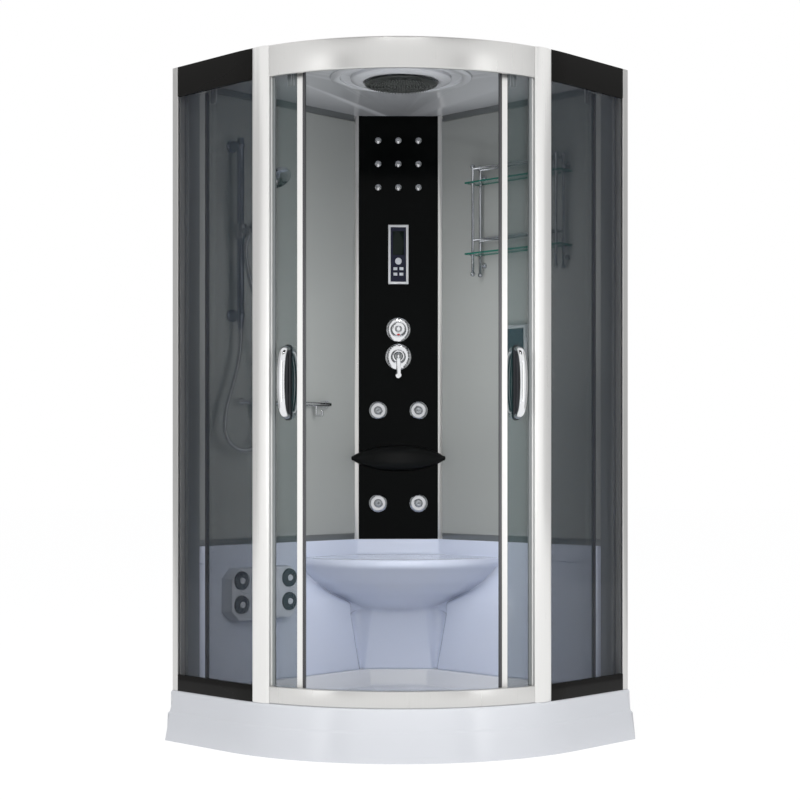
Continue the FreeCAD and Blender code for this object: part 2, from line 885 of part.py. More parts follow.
def trim(base, slot_base, right):
    run = "(channel_start - trim_start)"
    bar = wall_bar(run, "trim_front - trim_back", "trim_height", "trim_start", "trim_back", base, right)
    slot = wall_bar(run + " + overrun * 2", "glass_thickness", "trim_slot", "trim_start - overrun",
                    "wall_back", slot_base, right)
    return cut(bar, slot)


def end_channel(right):
    """The dark profile between the wall panel and the frame upright."""
    run = "(%s - upright_depth - channel_start)" % FRAME_SIDE
    bar = wall_bar(run, "channel_front - channel_back", "ceiling_height - tray_height", "channel_start",
                   "channel_back", "tray_height", right)
    slot = wall_bar("trim_slot", "glass_thickness", glass_rise, "channel_start", "wall_back", glass_base, right)
    return cut(bar, slot)


trims = []
for right in (False, True):
    trims.append(trim("moulding_height", glass_base, right))
    trims.append(trim("ceiling_height - trim_height", "ceiling_height - trim_height", right))
    trims.append(end_channel(right))
part("wall_trims", in_corner(group(trims)))


# Frame uprights at the walls and the white strips beside the column
def upright(right):
    start = FRAME_SIDE + " - upright_depth"
    rise = "cabin_height - tray_height"
    bar = wall_bar("upright_depth", "upright_width", rise, start, "0", "tray_height", right)
    slot_start = FRAME_SIDE + " - glass_setback - glass_thickness"
    slot = wall_bar("glass_thickness", "glass_seat + overrun", SIDE_GLASS_RISE, slot_start,
                    "upright_width - glass_seat", SIDE_GLASS_BASE, right)
    return cut(bar, slot)


SIDE_GLASS_BASE = "(tray_height + foot_rail_height - glass_seat)"
SIDE_GLASS_RISE = "(cabin_height - head_rail_height + glass_seat - %s)" % SIDE_GLASS_BASE
strip_front = "(column_distance + strip_proud - %s * sqrt(2))" % WALL_FACE
strip_back = "(column_distance + strip_proud - strip_depth - %s * sqrt(2))" % WALL_FACE
strip = extruded([
    ("panel_width / 2", "-strip_proud"),
    (strip_front, "-strip_proud"),
    (strip_back, "strip_depth - strip_proud"),
    ("panel_width / 2", "strip_depth - strip_proud"),
], "ceiling_height - moulding_height")
strip = on_column(place(strip, z="moulding_height"))
upright_pair = in_corner(group([upright(False), upright(True)]))
part("wall_profiles", group([upright_pair, strip, mirrored(strip)]))


# Control column: a black glass panel with holes for its fittings
SMALL_JET_ROWS = ["small_jet_high", "small_jet_middle", "small_jet_low"]
JET_PLACES = [(side, row) for row in ("jet_high", "jet_low") for side in (-1, 1)]
panel_depth = "panel_thickness + overrun * 2"
holes = []
for row_height in SMALL_JET_ROWS:
    for step in (-1, 0, 1):
        holes.append(rod("small_jet_shank + fitting_gap", panel_depth, "%d * small_jet_pitch" % step, "-overrun",
                         row_height, "y"))
for side, row_height in JET_PLACES:
    holes.append(rod("jet_shank_radius + fitting_gap", panel_depth, "%d * small_jet_pitch" % side, "-overrun",
                     row_height, "y"))
for valve_height in ("diverter_height", "mixer_height"):
    holes.append(rod("valve_hole_radius", panel_depth, "0", "-overrun", valve_height, "y"))
panel = box("panel_width", "panel_thickness", "ceiling_height - moulding_height", "-panel_width / 2", "0",
            "moulding_height")
part("control_panel", on_column(cut(panel, group(holes))))


# Fixed jets: nine small ones at the top and the collars of four swivelling ones
def small_jet(step, row_height):
    x = "%d * small_jet_pitch" % step
    seat = rod("small_jet_radius", "small_jet_height", x, "0", row_height, "-y")
    nose = cone("small_jet_radius", "small_jet_nose", "small_jet_nose / 2",
                x, "-small_jet_height", row_height, "-y")
    shank = rod("small_jet_shank", "small_jet_depth", x, "0", row_height, "y")
    bore = rod("jet_mouth_radius / 2", "small_jet_depth", x, "-small_jet_height * 2", row_height, "y")
    return cut(fuse([seat, nose, shank]), bore)


def jet_collar(side, row_height):
    x = "%d * small_jet_pitch" % side
    ball_y = "-jet_ball_rise"
    flange = rod("jet_flange_radius", "jet_flange_height / 2", x, "0", row_height, "-y")
    crown = cone("jet_flange_radius", "jet_crown_radius", "jet_flange_height / 2", x, "-jet_flange_height / 2",
                 row_height, "-y")
    shank = rod("jet_shank_radius", "jet_shank_depth", x, "0", row_height, "y")
    socket = ball("jet_ball_radius + running_gap", x, ball_y, row_height)
    feed = rod("jet_feed_radius", "jet_shank_depth + overrun", x, "0", row_height, "y")
    return cut(fuse([flange, crown, shank]), fuse([socket, feed]))


fittings = [small_jet(step, row_height) for row_height in SMALL_JET_ROWS for step in (-1, 0, 1)]
fittings += [jet_collar(side, row_height) for side, row_height in JET_PLACES]
part("jet_fittings", on_column(group(fittings)))

for number, (side, row_height) in enumerate(JET_PLACES, start=1):
    x = "%d * small_jet_pitch" % side
    nozzle_ball = ball("jet_ball_radius", x, "-jet_ball_rise", row_height)
    flat = box("jet_ball_radius * 2", "jet_ball_radius", "jet_ball_radius * 2", x + " - jet_ball_radius",
               "-jet_ball_rise - jet_ball_flat - jet_ball_radius", row_height + " - jet_ball_radius")
    mouth = rod("jet_mouth_radius", "jet_mouth_depth", x, "-jet_ball_rise - jet_ball_flat", row_height, "y")
    part("jet_nozzle_%d" % number, on_column(cut(nozzle_ball, fuse([flat, mouth]))))

# Keypad: a framed block with a display window and five keys that press
key_front = "-keypad_depth + keypad_recess"
KEYS = {
    "power_key": ("0", "keypad_centre - ring_key_drop"),
    "key_upper_left": ("-small_key_pitch / 2", "keypad_centre - small_key_drop"),
    "key_upper_right": ("small_key_pitch / 2", "keypad_centre - small_key_drop"),
    "key_lower_left": ("-small_key_pitch / 2", "keypad_centre - small_key_drop - small_key_step"),
    "key_lower_right": ("small_key_pitch / 2", "keypad_centre - small_key_drop - small_key_step"),
}


def key_solid(name, growth, front, depth):
    """A key, or the well it runs in when grown by the running gap."""
    x, z = KEYS[name]
    if name == "power_key":
        return rod("ring_key_radius + " + growth, depth, x, front, z, "y")
    width = "(small_key_width + 2 * %s)" % growth
    height = "(small_key_height + 2 * %s)" % growth
    return box(width, depth, height, x + " - %s / 2" % width, front, z + " - %s / 2" % height)


keypad = box("keypad_width", "keypad_depth", "keypad_length", "-keypad_width / 2", "-keypad_depth",
             "keypad_centre - keypad_length / 2")
recess = box("keypad_width - keypad_border * 2", "keypad_recess + overrun", "keypad_length - keypad_border * 2",
             "-keypad_width / 2 + keypad_border", "-keypad_depth - overrun",
             "keypad_centre - keypad_length / 2 + keypad_border")
window_well = box("window_width", "window_depth + overrun", "window_length", "-window_width / 2",
                  key_front + " - overrun", "keypad_centre + window_rise - window_length / 2")
well_depth = "key_body - key_proud + key_travel + running_gap"
wells = [key_solid(name, "running_gap", key_front + " - overrun", well_depth + " + overrun") for name in KEYS]
part("keypad_frame", on_column(cut(keypad, fuse([recess, window_well] + wells))))
part("keypad_window", on_column(box("window_width", "window_depth", "window_length", "-window_width / 2",
                                    key_front, "keypad_centre + window_rise - window_length / 2")))
for name in KEYS:
    part(name, on_column(key_solid(name, "0", key_front + " - key_proud", "key_body")))


# Escutcheon plates of the diverter and the mixer
def escutcheon(radius, height):
    plate = turned([
        ("spindle_radius + running_gap", "0"),
        (radius, "0"),
        (radius, "plate_thickness / 2"),
        ("plate_flat_radius", "plate_thickness"),
        ("spindle_radius + running_gap", "plate_thickness"),
    ])
    turn(plate, "-y")
    return place(plate, z=height)


part("valve_plates", on_column(group([
    escutcheon("diverter_plate_radius", "diverter_height"),
    escutcheon("mixer_plate_radius", "mixer_height"),
])))

knob_front = "plate_thickness + running_gap"
spindle_end = "running_gap - panel_thickness"
knob = turned([
    ("0", spindle_end),
    ("spindle_radius", spindle_end),
    ("spindle_radius", knob_front),
    ("knob_radius", knob_front),
    ("knob_nose_radius", knob_front + " + knob_depth"),
    ("knob_boss_radius", knob_front + " + knob_depth"),
    ("knob_boss_radius * 0.6", knob_front + " + knob_depth - knob_boss_height"),
    ("0", knob_front + " + knob_depth - knob_boss_height"),
])
turn(knob, "-y")
part("diverter_knob", on_column(place(knob, z="diverter_height")))

# Mixer: a turning cap with a ball seat, and a lever that lifts on it
ball_place = "plate_thickness + running_gap + cap_depth + lever_rise"
cap = turned([
    ("0", spindle_end),
    ("spindle_radius", spindle_end),
    ("spindle_radius", knob_front),
    ("cap_radius", knob_front),
    ("cap_nose_radius", knob_front + " + cap_depth"),
    ("0", knob_front + " + cap_depth"),
])
turn(cap, "-y")
place(cap, z="mixer_height")
cap_seat = ball("lever_ball_radius + running_gap", "0", "-(%s)" % ball_place, "mixer_height")
part("mixer_cap", on_column(cut(cap, cap_seat)))

lever_ball = ball("lever_ball_radius", "0", "-(%s)" % ball_place, "mixer_height")
lever_y = "-(%s) - lever_forward - lever_thickness" % ball_place
lever_bar = box("lever_width", "lever_thickness", "lever_length - lever_tip_width / 2", "-lever_width / 2",
                lever_y, "mixer_height - lever_length + lever_tip_width / 2")
lever_tip = rod("lever_tip_width / 2", "lever_thickness", "0", lever_y,
                "mixer_height - lever_length + lever_tip_width / 2", "y")
part("mixer_lever", on_column(fuse([lever_ball, lever_bar, lever_tip])))


# Backrest pad: leaf shaped, crowned towards the bather, its points turned forward over the strips
PAD_STATION_SHARES = [0, 0.24, 0.47, 0.66, 0.78, 0.9, 1]
PAD_HEIGHT_SHARES = [1, 0.97, 0.86, 0.68, 0.52, 0.29, 0.07]
PAD_CROWN_SHARES = [1, 0.97, 0.88, 0.76, 0.66, 0.56, 0.52]


def pad_outline(x, height, back, front):
    top = V(x, -back, sheet.pad_centre + height / 2)
    base = V(x, -back, sheet.pad_centre - height / 2)
    middle = V(x, -front, sheet.pad_centre)
    return Part.Wire([line(base, top), Part.Arc(top, middle, base).toShape()])


def pad_back(x):
    """How far the pad's back stands off the panel: flat on it, then clear of the strips and walls."""
    wall = x + sheet.pad_clearance + (sheet.wall_back + sheet.glass_thickness) * ROOT_TWO - sheet.column_distance
    if x <= sheet.pad_seat_half_width:
        return 0
    return max(sheet.strip_proud + sheet.pad_clearance, wall)


def make_pad():
    outlines = []
    for station, height, crown in zip(PAD_STATION_SHARES, PAD_HEIGHT_SHARES, PAD_CROWN_SHARES):
        x = station * sheet.pad_half_width
        back = pad_back(x)
        front = max(sheet.pad_depth * crown, back + sheet.pad_tip_depth * (1 + height) / 2)
        outlines.append(pad_outline(x, sheet.pad_height * height, back, front))
    half = Part.makeLoft(outlines, True, True)
    return half.fuse(half.mirror(V(), X_AXIS)).removeSplitter()


part("backrest_pad", on_column(shaped(make_pad())))

# Pipework behind the column: riser, valve bodies, jet branches, inlets and the roof pipe to the rain head
pipe_y = "(manifold_depth + riser_pipe_radius)"
roof_z = "ceiling_height + canopy_thickness + roof_pipe_rise"
pipes = [
    rod("riser_pipe_radius", roof_z + " - jet_low", "0", pipe_y, "jet_low"),
    rod("riser_pipe_radius", "rain_distance - column_distance + %s" % pipe_y, "0", pipe_y, roof_z, "-y"),
    ball("riser_pipe_radius", "0", pipe_y, roof_z),
    ball("riser_pipe_radius", "0", "-(rain_distance - column_distance)", roof_z),
    rod("riser_pipe_radius", "roof_pipe_rise", "0", "-(rain_distance - column_distance)",
        "ceiling_height + canopy_thickness"),
    ball("riser_pipe_radius", "0", pipe_y, "jet_low"),
    rod("manifold_radius", "manifold_half_width * 2", "-manifold_half_width", pipe_y, "mixer_height", "x"),
]
for valve_height in ("diverter_height", "mixer_height"):
    pipes.append(rod("valve_body_radius", pipe_y + " - panel_thickness",
                     "0", "panel_thickness", valve_height, "y"))
for row_height in ("jet_high", "jet_low"):
    pipes.append(rod("branch_radius", "small_jet_pitch * 2", "-small_jet_pitch", pipe_y, row_height, "x"))
for side, row_height in JET_PLACES:
    x = "%d * small_jet_pitch" % side
    pipes.append(rod("branch_radius", pipe_y + " - jet_shank_depth", x, "jet_shank_depth", row_height, "y"))
    pipes.append(ball("branch_radius", x, pipe_y, row_height))
for row_height in SMALL_JET_ROWS:
    pipes.append(rod("branch_radius", "small_jet_pitch * 2", "-small_jet_pitch", pipe_y, row_height, "x"))
    for step in (-1, 0, 1):
        x = "%d * small_jet_pitch" % step
        pipes.append(rod("branch_radius", pipe_y + " - small_jet_depth", x, "small_jet_depth", row_height, "y"))
        pipes.append(ball("branch_radius", x, pipe_y, row_height))
for side in (-1, 1):
    x = "%d * inlet_offset" % side
    pipes.append(rod("inlet_collar_radius", "manifold_radius + inlet_collar_rise",
                     x, pipe_y, "mixer_height", "-z"))
    pipes.append(rod("inlet_radius", "inlet_length", x, pipe_y, "mixer_height", "-z"))
part("valve_manifold", on_column(fuse(pipes)))


# Canopy with its flange and ring, and the rain disc hung in the ring
def make_canopy():
    low = sheet.ceiling_height
    radius = sheet.frame_radius - sheet.band_depth
    side = frame_side - sheet.band_depth
    back = sheet.channel_back
    middle = V(arc_offset, arc_offset, 0) + V(1, 1, 0) * (radius / ROOT_TWO)
    slab = prism([
        line(V(back, back, 0), V(side, back, 0)),
        line(V(side, back, 0), V(side, arc_offset, 0)),
        Part.Arc(V(side, arc_offset, 0), middle, V(arc_offset, side, 0)).toShape(),
        line(V(arc_offset, side, 0), V(back, side, 0)),
        line(V(back, side, 0), V(back, back, 0)),
    ], low, low + sheet.canopy_thickness)
    notch = sheet.overrun + sheet.upright_width - back
    for corner in (V(frame_side - sheet.upright_depth, 0, 0), V(0, frame_side - sheet.upright_depth, 0)):
        along = V(sheet.upright_depth, sheet.upright_width, 0)
        if corner.x == 0:
            along = V(sheet.upright_width, sheet.upright_depth, 0)
        slab = slab.cut(Part.makeBox(along.x, along.y, notch + sheet.canopy_thickness, corner + V(0, 0, low)))
    pipe_reach = (sheet.column_distance - sheet.manifold_depth - sheet.riser_pipe_radius) / ROOT_TWO
    slab = slab.cut(Part.makeCylinder(sheet.riser_pipe_radius + sheet.running_gap, sheet.canopy_thickness,
                                      V(pipe_reach, pipe_reach, low)))
    reach = sheet.rain_distance / ROOT_TWO
    centre = V(reach, reach, low)
    down = V(0, 0, -1)
    flange = Part.makeCylinder(sheet.flange_radius, sheet.flange_drop, centre, down)
    mouth = sheet.flange_radius - sheet.flange_width
    flange = flange.cut(Part.makeCylinder(mouth, sheet.flange_drop, centre, down))
    straight = sheet.ring_drop - sheet.ring_crown
    ring = Part.makeCylinder(sheet.ring_radius, straight, centre, down)
    lower = centre + down * straight
    ring = ring.fuse(Part.makeCone(sheet.ring_radius, sheet.ring_radius - sheet.ring_width / 2,
                                   sheet.ring_crown, lower, down))
    ring = ring.cut(Part.makeCylinder(sheet.ring_radius - sheet.ring_width, sheet.ring_drop, centre, down))
    return slab.fuse([flange, ring]).removeSplitter()


part("canopy", in_corner(shaped(make_canopy())))
disc = turned([
    ("0", "0"),
    ("disc_neck_radius", "0"),
    ("disc_neck_radius", "-disc_drop + disc_thickness"),
    ("disc_radius", "-disc_drop + disc_thickness"),
    ("disc_radius", "-disc_drop"),
    ("disc_radius / 2", "-disc_drop - disc_crown * 3 / 4"),
    ("0", "-disc_drop - disc_crown"),
])
part("rain_disc", place(disc, y=CORNER_Y + " - rain_distance", z="ceiling_height"))


# Wide front posts, each with a slot for the side glass and a slim lip behind its inner edge
def make_post():
    half = sheet.post_width / 2
    depth = sheet.post_depth
    face = [
        Part.Arc(V(-half, 0, 0), V(0, sheet.post_bulge, 0), V(half, 0, 0)).toShape(),
        line(V(half, 0, 0), V(half, -depth, 0)),
        line(V(half, -depth, 0), V(-half, -depth, 0)),
        line(V(-half, -depth, 0), V(-half, 0, 0)),
    ]
    post = prism(face, sheet.tray_height, sheet.cabin_height)
    low = sheet.tray_height + sheet.foot_rail_height
    high = sheet.cabin_height - sheet.head_rail_height
    lip = Part.makeBox(sheet.post_lip_reach + sheet.post_lip_overlap, sheet.post_lip_depth, high - low,
                       V(-half - sheet.post_lip_reach, -depth - sheet.post_lip_depth, low))
    gap = sheet.post_seat_gap
    slot = Part.makeBox(sheet.glass_seat + sheet.overrun, sheet.glass_thickness + gap * 3,
                        high - low + sheet.glass_seat * 2,
                        V(half - sheet.glass_seat - gap, -sheet.glass_setback - sheet.glass_thickness - gap * 2,
                          low - sheet.glass_seat))
    post = post.fuse(lip).cut(slot)
    angle = 45 - sheet.post_angle
    post.rotate(V(), Z_AXIS, angle - 90)
    post.translate(on_arc(sheet.frame_radius, sheet.post_angle))
    return post


part("front_posts", in_corner(shaped(Part.makeCompound(both_sides(make_post())))))

post_half_angle = math.degrees(math.asin(sheet.post_width / 2 / (sheet.frame_radius - sheet.post_depth)))
rail_end = sheet.post_angle - post_half_angle


# Front rails between the posts, and the circular door tracks above and below
def make_frame_rails():
    surface = sheet.frame_radius
    wall = sheet.rail_wall
    top = sheet.cabin_height
    low = top - sheet.head_rail_height
    fascia = sector(surface, surface - wall, -rail_end, rail_end, low, top)
    crown = sector(surface, surface - sheet.head_rail_depth, -rail_end, rail_end, top - wall, top)
    hem = sector(surface, surface - sheet.head_rail_hem, -rail_end, rail_end, low, low + wall)
    head = fascia.fuse([crown, hem]).removeSplitter()
    ground = sheet.tray_height
    step = ground + sheet.foot_rail_height
    inner = surface - sheet.foot_rail_depth
    foot = sector(surface, inner, -rail_end, rail_end, ground, step)
    hollow = sector(surface - wall, inner + wall, -rail_end - wall, rail_end + wall, ground - sheet.overrun,
                    step - wall)
    foot = foot.cut(hollow)
    end = sheet.track_angle
    web = surface - sheet.track_setback
    ceiling = sheet.ceiling_height
    base = ceiling - sheet.track_drop
    track = sector(web, web - sheet.track_wall, -end, end, base, ceiling)
    lip = sector(web, web - sheet.track_depth, -end, end, base, base + sheet.track_wall)
    cap = sector(web, web - sheet.track_depth, -end, end, ceiling - sheet.track_wall, ceiling)
    track = track.fuse([lip, cap]).removeSplitter()
    guide = sector(inner, inner - sheet.guide_depth, -end, end, ground, ground + sheet.guide_height)
    groove = sector(inner - sheet.track_wall, inner - sheet.guide_depth + sheet.track_wall, -end - wall, end + wall,
                    ground + sheet.track_wall, ground + sheet.guide_height + sheet.overrun)
    return Part.makeCompound([head, foot, track, guide.cut(groove)])


part("frame_rails", in_corner(shaped(make_frame_rails())))

# Black side bands and the fixed side glasses, each bent round from the post to the wall
band_start = sheet.post_angle + post_half_angle
glass_low = sheet.tray_height + sheet.foot_rail_height - sheet.glass_seat
glass_high = sheet.cabin_height - sheet.head_rail_height + sheet.glass_seat
glass_angle = sheet.post_angle + degrees_of(sheet.post_width / 2 - sheet.glass_seat, sheet.frame_radius)
side_glass = side_run(sheet.glass_setback, sheet.glass_setback + sheet.glass_thickness, glass_angle,
                      sheet.upright_width - sheet.glass_seat, glass_low, glass_high)
bands = []
for low, high in ((sheet.tray_height, glass_low + sheet.glass_seat),
                  (glass_high - sheet.glass_seat, sheet.cabin_height)):
    band = side_run(0, sheet.band_depth, band_start, sheet.upright_width, low, high)
    bands += both_sides(band.cut(side_glass))
part("side_bands", in_corner(shaped(Part.makeCompound(bands))))
part("side_glasses", in_corner(shaped(Part.makeCompound(both_sides(side_glass)))))


# Sliding doors, built on the left and mirrored: pane, edge profiles, handle, carriers and rollers
door_outer = sheet.frame_radius - sheet.door_setback
door_inner = door_outer - sheet.glass_thickness
door_low = sheet.tray_height + sheet.door_foot_gap
door_high = sheet.ceiling_height - sheet.door_head_gap
lead = sheet.door_lead_angle
trail = sheet.door_trail_angle
seal_span = degrees_of(sheet.seal_width, door_outer)
stile_span = degrees_of(sheet.stile_width, door_outer)
seat_span = degrees_of(sheet.stile_seat, door_outer)


def door_pair(name, shape):
    left = part("left_" + name, in_corner(shaped(shape)))
    part("right_" + name, mirrored(left))


def make_door_glass():
    start = lead + seal_span + stile_span - seat_span
    end = trail - seal_span + degrees_of(sheet.seal_proud, door_outer)
    return sector(door_outer, door_inner, start, end, door_low, door_high)


def make_door_edges(glass):
    outer = door_outer + sheet.stile_proud
    inner = door_inner - sheet.stile_proud
    stile = sector(outer, inner, lead + seal_span, lead + seal_span + stile_span, door_low, door_high).cut(glass)
    seal = sector(outer - sheet.seal_proud, inner + sheet.seal_proud, lead, lead + seal_span, door_low, door_high)
    brush = sector(outer - sheet.seal_proud, inner + sheet.seal_proud, trail - seal_span * 2, trail,
                   door_low, door_high).cut(glass)
    return Part.makeCompound([stile, seal, brush])


door_glass = make_door_glass()
door_pair("door_glass", door_glass)
door_pair("door_edges", make_door_edges(door_glass))


def radial(shape, radius, angle):
    """Stand a shape drawn with +y outwards on the doors' circle."""
    shape.rotate(V(), Z_AXIS, 45 - angle - 90)
    shape.translate(on_arc(radius, angle))
    return shape


HANDLE_REACH_SHARES = [0, 0.72, 1, 0.92, 0]
HANDLE_RISE_SHARES = [1, 0.72, 0, -0.72, -1]


def handle_bow(direction):
    """One bowed strap and its dark backplate on one face of the pane."""
    half = sheet.handle_length / 2
    strap = sheet.handle_strap
    plate = sheet.handle_pad_thickness

    def bow_edge(depth, rise):
        points = [V(0, direction * (plate + depth * reach), rise * share + sheet.handle_centre)
                  for reach, share in zip(HANDLE_REACH_SHARES, HANDLE_RISE_SHARES)]
        upper = Part.Arc(points[0], points[1], points[2]).toShape()
        lower = Part.Arc(points[2], points[3], points[4]).toShape()
        return [upper, lower], points[0], points[-1]

    outer, outer_top, outer_base = bow_edge(sheet.handle_depth - plate, half)
    inner, inner_top, inner_base = bow_edge(sheet.handle_depth - plate - strap, half - strap)
    edges = outer + [line(outer_base, inner_base)] + inner + [line(inner_top, outer_top)]
    bow = Part.Face(Part.Wire(Part.__sortEdges__(edges)))
    bow.translate(V(-sheet.handle_width / 2, 0, 0))
    bow = bow.extrude(V(sheet.handle_width, 0, 0))
    start = 0 if direction > 0 else -plate
    backplate = Part.makeBox(sheet.handle_pad_width, plate, sheet.handle_length,
                             V(-sheet.handle_pad_width / 2, start, sheet.handle_centre - half))
    return [bow, backplate]


def make_handle():
    outside = [radial(piece, door_outer, sheet.handle_angle) for piece in handle_bow(1)]
    inside = [radial(piece, door_inner, sheet.handle_angle) for piece in handle_bow(-1)]
    sagitta = door_outer - math.sqrt(door_outer ** 2 - (sheet.handle_pad_width / 2) ** 2)
    outside[1] = outside[1].cut(sector(door_outer, door_outer - sheet.overrun, 0, trail, 0, sheet.cabin_height))
    inside_pad = inside[1]
    inside_pad.translate((on_arc(door_inner, sheet.handle_angle) - arc_centre).normalize() * -sagitta)
    inside[0].translate((on_arc(door_inner, sheet.handle_angle) - arc_centre).normalize() * -sagitta)
    return Part.makeCompound([outside[0], outside[1], inside[0], inside_pad])


door_pair("door_handle", make_handle())

roller_angles = [lead + sheet.roller_inset_angle, trail - sheet.roller_inset_angle]
roller_height = (sheet.ceiling_height - sheet.track_drop + sheet.track_wall + sheet.running_gap
                 + sheet.roller_radius)
roller_outer = sheet.frame_radius - sheet.roller_setback


def outward(angle):
    return (on_arc(door_outer, angle) - arc_centre).normalize()


def pin(radius, start_radius, end_radius, angle, height):
    """A round bar pointing away from the doors' axis."""
    start = on_arc(start_radius, angle, height)
    return Part.makeCylinder(radius, end_radius - start_radius, start, outward(angle))


def make_carriers():
    pieces = []
    for angle in roller_angles:
        half_span = degrees_of(sheet.bracket_width / 2, door_inner)
        plate = sector(door_inner, door_inner - sheet.bracket_thickness, angle - half_span, angle + half_span,
                       door_high - sheet.bracket_drop, door_high + sheet.bracket_rise)
        inner_face = roller_outer - sheet.roller_width
        collar = pin(sheet.collar_radius, door_inner - sheet.bracket_thickness / 2, inner_face - sheet.running_gap,
                     angle, roller_height)
        axle = pin(sheet.axle_radius, door_inner, roller_outer + sheet.running_gap, angle, roller_height)
        pieces.append(plate.fuse([collar, axle]).removeSplitter())
        half_block = degrees_of(sheet.guide_block_width / 2, door_inner)
        low = sheet.tray_height + sheet.guide_foot_gap
        block = sector(door_inner, door_inner - sheet.bracket_thickness, angle - half_block, angle + half_block,
                       low, door_low + sheet.guide_block_rise)
        foot = sector(door_inner - sheet.bracket_thickness + sheet.guide_foot_depth,
                      door_inner - sheet.bracket_thickness, angle - half_block, angle + half_block, low, door_low)
        pieces.append(block.fuse(foot).removeSplitter())
    return Part.makeCompound(pieces)


door_pair("door_carriers", make_carriers())

for roller_name, angle in zip(("front_roller", "rear_roller"), roller_angles):
    tyre = pin(sheet.roller_radius, roller_outer - sheet.roller_width, roller_outer, angle, roller_height)
    bore = pin(sheet.axle_radius + sheet.axle_gap, roller_outer - sheet.roller_width - sheet.overrun,
               roller_outer + sheet.overrun, angle, roller_height)
    door_pair(roller_name, tyre.cut(bore))

# Glass shelf on the right wall: four rods with ball ends, rails and two panes
shelf_along = ["shelf_start + shelf_rod_inset", "shelf_start + shelf_length - shelf_rod_inset"]
shelf_across = ["shelf_back + shelf_rod_edge", "shelf_back + shelf_depth - shelf_rod_edge"]
SHELF_LEVELS = ["shelf_high", "shelf_low"]
INTO_ROD = " + shelf_rod_radius / 2"
frame_bits = []
for y in shelf_along:
    for x in shelf_across:
        frame_bits.append(rod("shelf_rod_radius", "shelf_rod_top - shelf_rod_base", x, y, "shelf_rod_base"))
        frame_bits.append(ball("shelf_ball_radius", x, y, "shelf_rod_base"))
        frame_bits.append(ball("shelf_ball_radius", x, y, "shelf_rod_top"))
        for level in SHELF_LEVELS:
            frame_bits.append(rod("shelf_collar_radius", "shelf_collar_height",
                                  x, y, level + " - shelf_collar_height"))
    for level in SHELF_LEVELS:
        frame_bits.append(rod("shelf_cross_radius", "shelf_depth - shelf_rod_edge * 2 - shelf_rod_radius",
                              shelf_across[0] + INTO_ROD, y, level + " + shelf_rail_rise", "x"))
    for mount_z in ("shelf_rod_base + shelf_mount_inset", "shelf_rod_top - shelf_mount_inset"):
        frame_bits.append(rod("shelf_stem_radius", "shelf_back + shelf_rod_edge - %s" % WALL_FACE,
                              WALL_FACE, y, mount_z, "x"))
        frame_bits.append(rod("shelf_mount_radius", "shelf_rail_radius", WALL_FACE, y, mount_z, "x"))
for level in SHELF_LEVELS:
    for x in shelf_across:
        frame_bits.append(rod("shelf_rail_radius", "shelf_length - shelf_rod_inset * 2 - shelf_rod_radius", x,
                              shelf_along[0] + INTO_ROD, level + " + shelf_rail_rise", "y"))
part("shelf_frame", in_corner(fuse(frame_bits)))

panes = []
for level in SHELF_LEVELS:
    pane = box("shelf_depth", "shelf_length", "glass_thickness", "shelf_back", "shelf_start", level)
    through = "glass_thickness + overrun * 2"
    rod_holes = [rod("shelf_rod_radius + running_gap", through, x, y, level + " - overrun")
                 for x in shelf_across for y in shelf_along]
    panes.append(cut(pane, group(rod_holes)))
part("shelf_glasses", in_corner(group(panes)))

# Riser rail on the left wall, with a hose outlet under its lower mount
rail_y = "(%s + rail_standoff)" % WALL_FACE
rail_bits = [rod("rail_tube_radius", "rail_top - rail_base", "rail_place", rail_y, "rail_base")]
for mount_z in ("rail_base + rail_mount_rise", "rail_top - rail_mount_rise"):
    rail_bits.append(rod("rail_mount_radius", rail_y + " - " + WALL_FACE, "rail_place", WALL_FACE, mount_z, "y"))
    rail_bits.append(rod("rail_mount_radius + rail_tube_radius / 2", "rail_tube_radius / 2",
                         "rail_place", WALL_FACE, mount_z, "y"))
    rail_bits.append(ball("rail_mount_radius", "rail_place", rail_y, mount_z))
rail_bits.append(rod("outlet_radius", "outlet_drop", "rail_place", rail_y, "rail_base", "-z"))
part("riser_rail", in_corner(fuse(rail_bits)))

slider_y = rail_y + " + cup_offset"
block = rod("slider_radius", "slider_length", "rail_place", rail_y, "slider_height - slider_length / 2")
boss = rod("slider_boss_radius", "cup_offset - cup_radius - running_gap * 2",
           "rail_place", rail_y, "slider_height", "y")
track_bore = rod("rail_tube_radius + slider_gap", "slider_length + overrun * 2", "rail_place", rail_y,
                 "slider_height - slider_length / 2 - overrun")
part("slider_block", in_corner(cut(fuse([block, boss]), track_bore)))


# Cup and handset lean out from the wall together about the cup's centre
def leaning(shape):
    """Lean a shape drawn about Z outwards and stand it at the cup's centre."""
    shape.rotate(V(), X_AXIS, -sheet.handset_lean)
    standoff = sheet.wall_back + sheet.glass_thickness + sheet.rail_standoff + sheet.cup_offset
    shape.translate(V(sheet.rail_place, standoff, sheet.slider_height))
    return in_corner(shaped(Part.makeCompound([shape])))


def make_cup():
    half = sheet.cup_half_height
    cup = Part.makeCylinder(sheet.cup_radius, half * 2, V(0, 0, -half))
    cup = cup.fuse(Part.makeCylinder(sheet.slider_boss_radius, sheet.cup_radius, V(0, 0, 0), V(0, -1, 0)))
    cup = cup.common(Part.makeSphere(sheet.cup_radius + sheet.running_gap))
    bore_start = V(0, 0, -half - sheet.overrun)
    return cup.cut(Part.makeCylinder(sheet.cup_bore, half * 2 + sheet.overrun * 2, bore_start))


